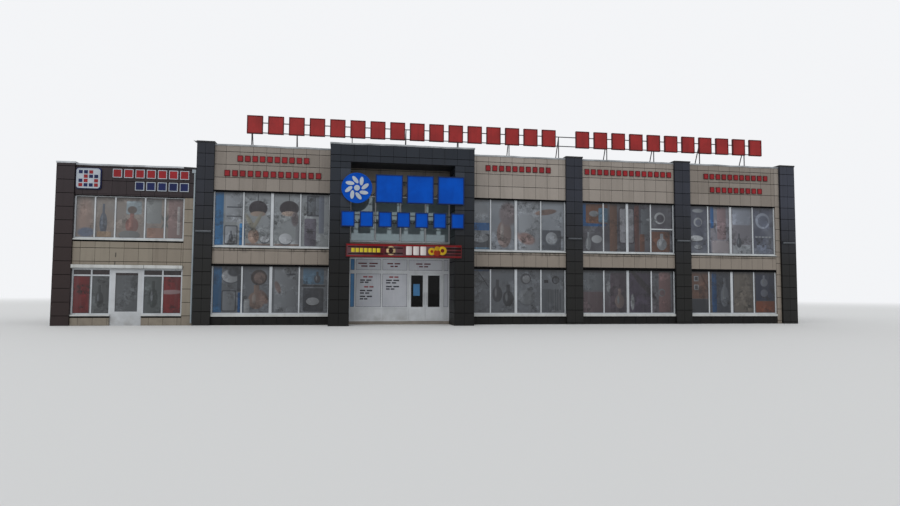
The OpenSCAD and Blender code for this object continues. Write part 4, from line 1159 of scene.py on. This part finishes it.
# %% Pictures of the wing, the back and the side
printed("print_wing_upper", "#8b8177", "#86766c", (
    oval(-4.7, 4.9, 0.3, 0.9, "#9b8074", 0.9) + oval(-4.65, 4.15, 0.35, 0.22, "#42587a", 0.5)
    + vase(-3.95, 4.1, 0.32, 1.35, "#3b4d63", "#6c7c90")
    + sheet(-4.2, 3.88, -3.6, 4.2, "#a08262", 0.5) + sheet(-3.0, 5.0, -2.35, 5.6, "#8fa3ad", 0.3)
    + vase(-2.75, 4.15, 0.55, 1.0, "#7b4038", "#a4685c")
    + oval(-2.75, 5.2, 0.2, 0.17, "#4b3a34", 0.3)
    + basin(-2.85, 4.08, 0.9, 0.36, "#6a6f72", "#55483f")
    + sheet(-2.1, 3.88, -1.3, 4.4, "#9a6f5c", 0.5)
    + oval(-1.45, 4.85, 0.06, 0.7, "#4c5250", 0.4, 0.6)
    + oval(-1.2, 4.95, 0.06, 0.6, "#4c5250", 0.4, -0.5)
    + sheet(-2.15, 4.6, -1.5, 5.7, "#858d90", 0.6) + sheet(-1.2, 3.88, -0.56, 5.8, "#7c5f5e", 0.5)
    + sheet(-0.82, 4.1, -0.7, 5.4, "#a5a0a0")),
    4.9, 0.6, busy=0.6, haze=0.35, head=max(box[1].z for box in solids("wing_frames")))
printed("print_wing_lower", "#74787b", "#6b6f72", (
    sheet(-5.15, 0.4, -4.42, 2.5, "#8e2226", 0.02) + sheet(-4.35, 0.4, -3.6, 2.5, "#6f7375", 0.1)
    + vase(-4.0, 0.8, 0.35, 1.0, "#565a5c", PALE) + sheet(-1.32, 0.4, -0.56, 2.5, "#8e2226", 0.02)
    + oval(-1.0, 1.5, 0.5, 0.1, "#b9979a", 0.4, -0.7)
    + sheet(-2.1, 0.4, -1.36, 2.5, "#6a7172", 0.1) + vase(-1.75, 0.8, 0.4, 1.2, "#4f5656", PALE)
    # The dark band under the shutter box is painted shade and painted reflection.
    + sheet(-5.2, 2.24, -0.5, 2.6, "#3f3032", 0.02)),
    1.7, 0.36, busy=0.9, head=STOREYS["lower"][1])
printed("print_plain", "#6c7178", "#656a71", (), 4.0, 0.6)
print("prints:", sum(name.startswith("print") for name in MATERIALS))

# %% [markdown]
# The panes themselves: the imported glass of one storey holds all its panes, so its copy is
# merged, split into loose panes and sorted by window. On both broad faces of every pane a
# 15 mm edge seal is inset, which shows as the thin dark line beside the white frame.

# %% Panes
SEAL, LEAST_PANE = 0.015, 0.04
BETWEEN_STOREYS = 3


def pane_copies(packed):
    """The panes of a packed glass node as separate objects with clean faces."""
    source = frame["nodes"][packed]
    copy = source.copy()
    copy.data = source.data.copy()
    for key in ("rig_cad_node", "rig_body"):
        del copy[key]
    copy.parent = None
    bpy.context.collection.objects.link(copy)
    with editing(copy):
        bpy.ops.mesh.select_all(action="SELECT")
        bpy.ops.mesh.remove_doubles(threshold=0.0001)
        bpy.ops.mesh.dissolve_limited(angle_limit=0.02)
        bpy.ops.mesh.separate(type="LOOSE")
    return list(bpy.context.selected_objects)


def middle_of(piece):
    """The middle of a pane, measured from the corner."""
    return sum((v.co for v in piece.data.vertices), Vector()) / len(piece.data.vertices) - corner


def glaze(name, panes, film, slot, packed, body="building"):
    """Joins panes, insets an edge seal around their film and mounts them for the glass."""
    window = dress(joined(name, panes), "seal", film)
    with editing(window):
        choose(window, lambda face: face.calc_area() > LEAST_PANE and abs(face.normal.z) < 0.1)
        bpy.ops.mesh.inset(thickness=SEAL, depth=-0.002, use_individual=True)
        paint(window, 1)
    mount(window, slot, packed, body=body)


for storey in STOREYS:
    windows = {}
    for pane in pane_copies(f"{storey}_window_glass"):
        at = middle_of(pane)
        bay = 1 + bay_number((at + corner, at + corner))
        windows.setdefault(f"bay_{bay}" if at.y < FRONT_DEPTH else "rest", []).append(pane)
    for key, panes in sorted(windows.items()):
        film = "print_plain" if key == "rest" else key.replace("bay", f"print_{storey}")
        glaze(f"{storey}_panes_{key}", panes, film, "film_glass", f"{storey}_window_glass")
panes = [(pane, middle_of(pane)) for pane in pane_copies("wing_glass")]
for part, film, wanted in (
        ("upper", "print_wing_upper", lambda at: at.y < FRONT_DEPTH and at.z > BETWEEN_STOREYS),
        ("lower", "print_wing_lower", lambda at: at.y < FRONT_DEPTH and at.z < BETWEEN_STOREYS),
        ("rest", "print_plain", lambda at: at.y >= FRONT_DEPTH)):
    chosen = [pane for pane, at in panes if wanted(at)]
    glaze(f"wing_panes_{part}", chosen, film, "film_glass", "wing_glass")

# %% [markdown]
# ## The entrance
# Over the doors, the tall glazing has a grey-green mirror film, so the backs of the signs
# in front of it show in it as dark shapes. The shopfront panes beside the doors carry
# white film with rows of plain coloured bars, apart from a narrow blue one at the left.
# Only the door leaves are clear, so the dark room behind them shows. The films are
# materials on sealed panes, as in the windows. The small blue sheet on one leaf is a thin
# piece of its own, because it moves with the door.

# %% Entrance glass
RUST, RED, INK = "#4c1018", "#7c1018", "#0c1224"
bars = []
for left, right, level, tint in (
        (7.40, 8.45, 2.93, RUST), (7.55, 8.30, 2.80, RUST), (8.80, 9.50, 2.93, RUST),
        (8.95, 9.35, 2.80, RUST), (10.2, 11.0, 2.93, RUST), (10.35, 10.85, 2.80, RUST),
        (7.65, 8.15, 2.28, RED), (7.50, 8.10, 2.12, INK), (7.50, 7.95, 2.02, INK),
        (7.70, 8.20, 1.80, RED), (7.50, 8.15, 1.62, INK), (7.50, 8.00, 1.50, INK),
        (7.50, 8.15, 1.34, INK), (7.50, 7.90, 1.22, INK), (8.90, 9.40, 2.28, RED),
        (8.75, 9.45, 2.12, INK), (8.75, 9.30, 2.00, INK), (8.75, 9.45, 1.82, INK),
        (8.75, 9.20, 1.70, INK)):
    bars += tiles_of(left, level - 0.034, right, level + 0.034, tint, 2)
printed("white_film", "#acaeb4", "#a8aab0", bars, 1.7, rough=0.25)
printed("mirror_film", "#7c8e92", "#86979a", (), 5.0, rough=0.03)
MATERIALS["mirror_film"].node_tree.nodes["Principled BSDF"].inputs["Metallic"].default_value = 0.48
tree, shader = new_material("clear_glass")
tint = mixed(tree, spread(tree, noise(tree, 0.8), 0.3, 0.7), hue("#2c3133"), hue("#373c3e"))
smear = spread(tree, noise(tree, 1.6, (1, 1, 0.4), 4), 0.4, 0.8, 0.02, 0.12)
feed(tree, shader, Base_Color=tint, Roughness=smear, Transmission_Weight=1.0, IOR=1.25)

TRANSOM_FOOT, TRANSOM_TOP = 2.4, 3.5
entry = sorted(pane_copies("entrance_glass"), key=lambda p: middle_of(p).x)
tall = [p for p in entry if middle_of(p).z > TRANSOM_TOP]
transoms = [p for p in entry if TRANSOM_FOOT < middle_of(p).z <= TRANSOM_TOP]
shop = [p for p in entry if middle_of(p).z <= TRANSOM_FOOT]
for name, panes, film in (("tall_glazing", tall, "mirror_film"),
                          ("narrow_blue_panes", shop[:1] + transoms[:1], "blue_film"),
                          ("white_shop_panes", shop[1:] + transoms[1:], "white_film")):
    glaze(name, panes, film, "entry_glass", "entrance_glass")
for side in ("left", "right"):
    leaf = f"{side}_leaf_glass"
    glaze(leaf + "_pane", pane_copies(leaf), "clear_glass", "entry_glass", leaf, f"door_{side}")
SHEET_FROM, SHEET_TO, SHEET_FOOT, SHEET_HEAD = 0.19, 0.73, 1.38, 1.95
low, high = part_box("left_leaf_glass")
pane_w = high.x - low.x
poster = block("blue_sheet", (low.x + SHEET_FROM * pane_w, low.y - 0.003, SHEET_FOOT),
               (low.x + SHEET_TO * pane_w, low.y, SHEET_HEAD))
mount(dress(soften(poster, 0.001), "blue_film"), "entry_glass", body="door_left")

# %% [markdown]
# ## Signs
# A channel sign is a shallow box: a bent metal return around the sides and a face plate
# set a few millimetres behind its rim. The boxes stay blank here. One box of each size is
# modelled, with rounded edges and its face inset and pushed back, and then copied to every
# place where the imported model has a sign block.

# %% Sign boxes
def sign_box(name, low, high, side, face, radius, rim, sunk):
    """A blank channel box whose face looks to the front."""
    box = dress(soften(block(name, low, high), radius, 2), side, face)
    with editing(box):
        choose(box, to_front(0.01))
        sink(rim, sunk)
        paint(box, 1)
    return box


def box_row(name, packed, slot, side, face, *shape, wanted=lambda box: True):
    """Models one box per size, copies it onto every block of a node and mounts the row."""
    patterns, row = {}, []
    for i, (low, high) in enumerate(b for b in solids(packed) if wanted(b)):
        key = tuple(round(v, 3) for v in high - low)
        if key not in patterns:
            patterns[key] = sign_box(f"{name}_pattern", low, high, side, face, *shape), low
            row.append(patterns[key][0])
        else:
            pattern, first = patterns[key]
            row.append(copied(pattern, f"{name}_{i}", low - first))
    mount(joined(name, row), slot, packed)


def is_disc(box):
    """Whether a block of the blue sign is the one that carries the disc."""
    return abs(wide(box) - 1.4) <= 0.02


BETWEEN_ROWS = 6.5
box_row("roof_sign_boxes", "roof_sign_blocks", "roof_red", "deep_red", "roof_red",
        0.014, 0.03, 0.018)
box_row("wall_sign_boxes", "wall_sign_blocks", "wall_red", "deep_red", "wall_red",
        0.01, 0.016, 0.01)
box_row("blue_sign_boxes", "blue_sign_blocks", "blue_acrylic", "deep_blue", "blue_acrylic",
        0.014, 0.035, 0.018, wanted=lambda box: not is_disc(box))
box_row("wing_red_boxes", "wing_sign_blocks", "wall_red", "pale_acrylic", "wall_red",
        0.01, 0.02, 0.01, wanted=lambda box: box[0].z > BETWEEN_ROWS)
box_row("wing_blue_boxes", "wing_sign_blocks", "wall_red", "pale_acrylic", "navy",
        0.01, 0.02, 0.01, wanted=lambda box: box[0].z < BETWEEN_ROWS)

# %% [markdown]
# The big blue disc leads the row. It carries a plain pinwheel of eight rounded petals
# around a hub, in the same pale grey that goes with the blue on the real wall. One petal
# starts as a small cylinder, is stretched and softened, and its copies are turned around
# the hub.

# %% Sign disc
low, high = [box for box in solids("blue_sign_blocks") if is_disc(box)][0]
middle = (low + high) / 2


def on_disc(depth):
    """The middle of the disc at a depth behind its front."""
    return Vector((middle.x, low.y + depth, middle.z))


PETALS, PETAL_REACH = 8, 0.38
back = high.y - low.y
disc = rod("sign_disc", on_disc(0.02), on_disc(back), (high - low).x / 2, 96)
with editing(disc):
    choose(disc, to_front())
    sink(0.05, 0.012)
pieces = [rod("hub", on_disc(0.005), on_disc(0.04), 0.13, 40)]
petal = added(bpy.ops.mesh.primitive_cylinder_add, "petal", (0.20, 0.09, 1), vertices=28,
              radius=1, depth=0.035, rotation=(0, 0, math.radians(28)))
soften(petal, 0.006)
upright = Matrix.Translation(on_disc(0.022)) @ Matrix.Rotation(math.pi / 2, 4, "X")
for i in range(PETALS):
    twin = copied(petal, f"petal_{i}", (PETAL_REACH, 0, 0))
    twin.data.transform(upright @ Matrix.Rotation(i * math.tau / PETALS + 0.2, 4, "Z"))
    pieces.append(twin)
bpy.data.objects.remove(petal)
motif = dress(joined("disc_pinwheel", pieces), "pale_acrylic")
mount(dress(disc, "blue_acrylic"), "blue_acrylic", "blue_sign_blocks")
mount(motif, "blue_acrylic")

# %% [markdown]
# The banner over the doors is a cloth stretched on a shallow box. Its print is a festive
# strip: red ground, dark stripes, yellow and orange blossoms and a few plain bars. The
# material stacks the same patches as the window films.

# %% Banner
low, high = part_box("banner_box")
left, foot = low.x - corner.x, low.z
long, tall = high.x - low.x, high.z - low.z
STRIPE, EDGE, GOLD, RUBY = "#241414", "#a8161c", "#e8bf28", "#a53a16"
motifs = []
for u0, v0, u1, v1, colour in (
        (0, tall - 0.09, long, tall, EDGE), (0, 0, long, 0.07, EDGE),
        (0.1, 0.44, 1.7, 0.49, "#201210"), (0.1, 0.13, 1.7, 0.18, "#201210")):
    motifs += sheet(left + u0, foot + v0, left + u1, foot + v1, colour)
motifs += tiles_of(left + 0.25, foot + 0.22, left + 1.6, foot + 0.41, "#f2dc3e", 7)
for r, colour in ((0.21, "#e6c898"), (0.11, "#3e1a18")):
    motifs += oval(left + 2.05, foot + 0.31, r, r, colour, 0.1)
for u0, v0, u1, v1 in ((1.75, 0.40, 2.6, 0.46), (1.75, 0.16, 2.6, 0.22)):
    motifs += sheet(left + u0, foot + v0, left + u1, foot + v1, STRIPE)
motifs += tiles_of(left + 2.75, foot + 0.12, left + 3.75, foot + 0.52, "#fbf2ee", 3)
for v0, v1 in ((0.40, 0.49), (0.25, 0.33), (0.12, 0.18)):
    motifs += sheet(left + 4.45, foot + v0, left + long, foot + v1, STRIPE)
for u, v, ru, rv, colour in (
        (3.95, 0.30, 0.17, 0.17, GOLD), (4.45, 0.34, 0.2, 0.2, GOLD),
        (4.2, 0.24, 0.16, 0.15, RUBY), (4.2, 0.44, 0.12, 0.1, "#d0a418"),
        (4.45, 0.34, 0.09, 0.09, "#7a1f1a"), (3.95, 0.3, 0.07, 0.07, RUBY)):
    motifs += oval(left + u, foot + v, ru, rv, colour, 0.2)
printed("banner_print", "#6c0f14", "#580c10", motifs, 3.4, 0.6, 0.6, sheen=0.1)
banner = dress(soften(block("banner", low, high), 0.012, 2), "deep_red", "banner_print")
with editing(banner):
    choose(banner, to_front(0.5))
    sink(0.025, 0.008)
    paint(banner, 1)
mount(banner, "banner_cloth", "banner_box")

# %% [markdown]
# The white plate at the left end of the wing has rounded corners and stands on a slightly
# larger navy backing, which shows as a dark rim. Both start as blocks of which only the
# four corner edges are rounded, so their faces stay flat. The red and blue squares could
# be painted on; as thin plates of their own they catch a little light at their edges.

# %% Wing plate
low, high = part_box("wing_sign_plate")
behind = block("plate_backing", (low.x, low.y + 0.05, low.z), high)
with editing(behind):
    bevel_edges(behind, along_axis(1, 0.05), 0.10, 4)
mount(dress(behind, "navy"), "white_panel", "wing_sign_plate")
border = Vector((0.035, 0, 0.035))
plate = block("wing_plate", low + border, Vector((high.x, low.y + 0.06, high.z)) - border)
with editing(plate):
    bevel_edges(plate, along_axis(1, 0.05), 0.12, 5)
    choose(plate, to_front())
    sink(0.03, 0.01)
mount(dress(plate, "pale_acrylic"), "white_panel", "wing_sign_plate")
low += border
CHIP_W, CHIP_H, COLUMN_PITCH, LEVEL_PITCH = 0.16, 0.15, 0.215, 0.195
squares = {"red": [], "blue": []}
for column in range(4):
    for level in range(4):
        kind = (column + 2 * level) % 5
        if kind == 4:
            continue
        x, z = low.x + 0.09 + column * COLUMN_PITCH, low.z + 0.07 + level * LEVEL_PITCH
        chip = block(f"chip_{column}_{level}", (x, low.y + 0.002, z),
                     (x + CHIP_W, low.y + 0.014, z + CHIP_H))
        squares["red" if kind in (0, 3) else "blue"].append(soften(chip, 0.004))
for colour, material in (("red", "wall_red"), ("blue", "navy")):
    fix(f"plate_chips_{colour}", squares[colour], material, "white_panel")

# %% [markdown]
# ## Sheet metal
# The tops of all the walls are covered with thin folded sheet that has buckled in long
# waves, which shows as a pale wavering line against the sky. Each coping starts as a cap
# over its wall, is cut across every 30 cm, and a displacement with slow clouds lifts and
# drops the cuts by a few millimetres.

# %% Copings
CUT_EVERY, COPING_LIP, WING_TOP = 0.3, 0.035, 7.6
WALL_LIFT, CAP_LIFT = 0.05, 0.012
waves = bpy.data.textures.new("sheet_waves", "CLOUDS")
waves.noise_scale = 0.9


def flashing(name, low, high, lip, lift):
    """A buckled cap of folded sheet around the top of a wall."""
    cap = block(name, (low.x, low.y, low.z - lip), high)
    axis = 0 if high.x - low.x > high.y - low.y else 1
    length = (high - low)[axis]
    with editing(cap):
        choose(cap, along_axis(axis, 0.6 * length), "edges")
        bpy.ops.mesh.subdivide(number_cuts=max(2, int(length / CUT_EVERY)))
    buckle = cap.modifiers.new("buckle", "DISPLACE")
    buckle.texture, buckle.texture_coords, buckle.direction = waves, "GLOBAL", "Z"
    buckle.strength, buckle.mid_level = lift, 0.5
    bpy.ops.object.modifier_apply(modifier="buckle")
    return cap


walls, caps = [], []
for i, (low, high) in enumerate(solids("copings")):
    narrow = max((high - low).xy) < 1.0
    made = flashing(f"coping_{i}", low, high, COPING_LIP, CAP_LIFT if narrow else WALL_LIFT)
    (caps if narrow and ((low + high) / 2).x > corner.x else walls).append(made)
sheets = dress(joined("wall_flashings", walls), "coping_metal", "dark_coping", "wing_coping")
for face in sheets.data.polygons:
    spot = face.center - corner
    if spot.z < WING_TOP:
        face.material_index = 1 if -0.62 < spot.x < 0 and spot.y < 0.7 else 2
mount(sheets, "coping_metal", "copings")
fix("pilaster_caps", caps, "dark_coping", "coping_metal", "copings")

# %% [markdown]
# At the left corner the wind has bent the sheet up and out, so a pale flap of it sticks
# out beside the first pilaster. The coping could be bent there; a small flat sheet with a
# lifted outer edge does the same and leaves the coping straight.

# %% Bent flap
flap = block("bent_flap", place(-0.16, -0.02, 8.40), place(0.06, 0.45, 8.404))
with editing(flap):
    choose(flap, at_level(0, place(-0.16, 0, 0).x), "edges")
    bpy.ops.transform.translate(value=(0, 0, 0.06))
    bpy.ops.mesh.select_all(action="SELECT")
    bpy.ops.mesh.subdivide(number_cuts=3)
mount(dress(flap, "coping_metal"), "coping_metal")

# %% [markdown]
# The shutter box over the shop windows is folded from two lengths of sheet that meet in
# an open seam, each with a rail under it. Each length is a block with only its front edges
# rounded, because the back ones lie against the wall.

# %% Shutter covers
low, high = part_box("wing_shutter_box")
seam = place(-2.13, 0, 0).x
rail_top = low.z + 0.012
covers = []
for i, (left, right) in enumerate(((low.x, seam - 0.006), (seam + 0.006, high.x))):
    cover = block(f"cover_{i}", (left, low.y, rail_top), (right, high.y, high.z))
    with editing(cover):
        bevel_edges(cover, at_level(1, low.y), 0.02, 3)
    rail = block(f"rail_{i}", (left + 0.01, low.y + 0.03, low.z),
                 (right - 0.01, low.y + 0.09, rail_top))
    covers += [cover, soften(rail, 0.003)]
fix("shutter_covers", covers, "white_metal", "coping_metal", "wing_shutter_box")

# %% [markdown]
# Two short cable ends stick out of a joint of the panel above the shutter box, and two
# small spot lamps sit on the wall of the recess, half hidden behind the big sign. All of
# them are round bars between two points, because finer forms wouldn't show at this size.

# %% Cable ends and spot lamps
ends = [rod(f"cable_{i}", place(x, 0.098, foot), place(x + 0.01, 0.098, top), 0.011, 8)
        for i, (x, foot, top) in enumerate(((-3.355, 3.06, 3.25), (-3.38, 2.71, 2.84)))]
fix("cable_ends", ends, "dark_metal", "dark_metal")
spots = []
for i, (x, z) in enumerate(((9.32, 6.75), (9.56, 6.83))):
    wall = Vector((place(x, 0, z).x, recess[0][0].y, z))
    spots.append(rod(f"spot_stem_{i}", wall + Vector((0, 0.005, 0)),
                     wall + Vector((0, -0.12, 0)), 0.02))
    head = rod(f"spot_head_{i}", wall + Vector((0, -0.10, 0.02)),
               wall + Vector((0, -0.22, -0.05)), 0.07, 24)
    spots.append(soften(head, 0.006))
fix("spot_lamps", spots, "lamp_body", "dark_metal")

# %% [markdown]
# The flat roofs are covered with felt from rolls one metre wide. Each length laps over the
# one before it, so the roof is laid here as single thin strips with a soft edge.

# %% Roof felt
LAP, LEAST_ROOF = 0.06, 3
lengths = []
for low, high in solids("roof_deck"):
    if min((high - low).xy) < LEAST_ROOF:
        continue
    count = round(high.x - low.x)
    pitch = (high.x - low.x) / count
    for i in range(count):
        left = low.x + i * pitch
        strip = block(f"felt_{len(lengths)}", (left, low.y, high.z),
                      (min(left + pitch + LAP, high.x), high.y, high.z + 0.004 + 0.003 * (i % 2)))
        lengths.append(soften(strip, 0.0015))
fix("roof_felt_lengths", lengths, "roof_felt", "roof_felt")

# %% [markdown]
# The sills are folded from thin sheet too. From below a bright lip shows, and under it
# the set-back fold shows as a dark line; its near-black finish is painted shadow, and it
# reaches 26 mm below the sill. The low sills of the main block are deep boards and show
# almost no shadow, only their lowest 20 mm of painted shadow. A bent profile could be drawn
# for each sill; two blocks, one set back behind the other, give the same light and dark,
# with the dark painted.

# %% Sill covers
SET_BACK, LIP, WING_LIP, BOARD_SHADE, DEEP_SILL = 0.022, 0.045, 0.062, 0.02, 0.1
lips, folds = [], []
for i, (low, high) in enumerate(solids("window_sills")):
    tall = high.z - low.z
    deep_lip = WING_LIP if on_wing(low) else tall - BOARD_SHADE
    lip_foot = high.z - (LIP if tall < DEEP_SILL else deep_lip)
    lips.append(soften(block(f"lip_{i}", (low.x, low.y, lip_foot), high), 0.004, 2))
    x, y = OUT[outward((low, high))]
    # The fold's near-black finish and its reach below the sill are painted shadow.
    fold = block(f"fold_{i}", (low.x + max(0, -x) * SET_BACK, low.y + max(0, -y) * SET_BACK,
                               low.z - 0.026),
                 (high.x - max(0, x) * SET_BACK, high.y - max(0, y) * SET_BACK,
                  lip_foot + 0.002))
    folds.append(soften(fold, 0.003))
fix("sill_lips", lips, "white_metal", "coping_metal", "window_sills")
fix("sill_folds", folds, "head_metal", "coping_metal", "window_sills")

# %% [markdown]
# The lights on the pilasters are slim wash lights: a half-round housing between two end
# caps, on a back plate. A round bar sunk into the plate gives the half round without a
# cut. The rainwater pipe gets collars where its lengths meet.

# %% Lights and pipe collars
parts = []
for i, (low, high) in enumerate(solids("pilaster_lights")):
    y, z = low.y + 0.052, (low.z + high.z) / 2
    plate = block(f"light_plate_{i}", (low.x, high.y - 0.015, low.z), high)
    parts += [soften(plate, 0.004),
              rod(f"light_tube_{i}", (low.x + 0.02, y, z), (high.x - 0.02, y, z), 0.045, 20)]
    for x in (low.x, high.x - 0.03):
        cap = block(f"light_end_{i}", (x, low.y, low.z + 0.002),
                    (x + 0.03, high.y - 0.01, high.z - 0.002))
        parts.append(soften(cap, 0.012, 2))
fix("wash_lights", parts, "lamp_body", "lamp_body", "pilaster_lights")

low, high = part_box("rainwater_pipe")
x, y = high.x - 0.04, low.y + 0.04
collars = [rod(f"collar_{i}", (x, y, z), (x, y, z + 0.05), 0.046, 20)
           for i, z in enumerate((0.12, 1.9, 3.8, 5.6))]
fix("pipe_collars", [soften(c, 0.004) for c in collars], "pipe_metal", "coping_metal")

# %% [markdown]
# ## Doors
# Each leaf carries an upright pull bar on two stand-offs near the meeting side. The pull
# could be part of the leaf's mesh; as a piece of its own it gets its own metal, and it
# rides on the leaf's body, so it swings with it.

# %% Door pulls
FROM_EDGE, STAND_OFF, BAR_FOOT, BAR_HEAD = 0.06, 0.06, 0.95, 1.55
for side, way in (("left", 1), ("right", -1)):
    leaf = f"{side}_leaf"
    low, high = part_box(leaf)
    x = (high.x if side == "left" else low.x) - way * FROM_EDGE
    face = low.y + 0.023
    out = face - STAND_OFF
    pull = [rod(f"{leaf}_bar", (x, out, BAR_FOOT), (x, out, BAR_HEAD), 0.014, 16)]
    pull += [rod(f"{leaf}_foot_{z}", (x, face + 0.002, z), (x, out, z), 0.010)
             for z in (1.02, 1.48)]
    fix(f"{leaf}_pull", pull, "pull_metal", "grey_frame", body=f"door_{side}")

# %% [markdown]
# ## Stage
# The building stands on a plain pale floor in soft even light, as on an overcast day: a
# bright sky dome and one very wide lamp from the front left. The floor fades to the white
# of the sky far away, only for what the camera sees, so no horizon line disturbs the view.

# %% Floor, sky and light
HORIZON = (0.9, 0.91, 0.93, 1)
FADE_FROM, FADE_TO = 45.0, 130.0
floor = added(bpy.ops.mesh.primitive_plane_add, "floor", size=900, location=(0, 0, -0.002))
tree, shader = new_material("floor_paper")
feed(tree, shader, Base_Color=(0.62, 0.62, 0.61, 1), Roughness=0.9)
reach = node(tree, "VectorMath", node(tree, "TexCoord").outputs["Object"],
             setup={"operation": "LENGTH"}).outputs["Value"]
far = product(tree, spread(tree, reach, FADE_FROM, FADE_TO),
              node(tree, "LightPath").outputs["Is Camera Ray"])
glow = node(tree, "Emission", Color=HORIZON).outputs[0]
faded = node(tree, "MixShader", far, shader.outputs[0], glow).outputs[0]
wire(tree, faded, tree.nodes["Material Output"].inputs["Surface"])
dress(floor, "floor_paper")
floor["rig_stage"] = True

world = bpy.data.worlds.new("overcast")
bpy.context.scene.world = world
world.use_nodes = True
tree = world.node_tree
tree.nodes.clear()
rays = node(tree, "LightPath").outputs
seen = sums(tree, "MAXIMUM", rays["Is Camera Ray"], rays["Is Transmission Ray"])
seen = sums(tree, "MAXIMUM", seen, rays["Is Glossy Ray"])
dome = node(tree, "Background", Color=(0.95, 0.97, 1.0, 1), Strength=0.85).outputs[0]
backdrop = node(tree, "Background", Color=HORIZON).outputs[0]
sky = node(tree, "MixShader", seen, dome, backdrop).outputs[0]
node(tree, "OutputWorld", Surface=sky)
lamp = bpy.data.lights.new("wide_lamp", "SUN")
lamp.energy, lamp.angle = 0.9, math.radians(60)
sun = bpy.data.objects.new("wide_lamp", lamp)
bpy.context.scene.collection.objects.link(sun)
sun.rotation_euler = (math.radians(48), 0, math.radians(-25))
bpy.context.scene.view_settings.view_transform = "Standard"
print("stage ready")

# %% Sizes and finish
low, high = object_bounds()
print("cad", [round(v, 3) for v in (*cad_low, *cad_high)])
print("visual", [round(v, 3) for v in (*low, *high)])
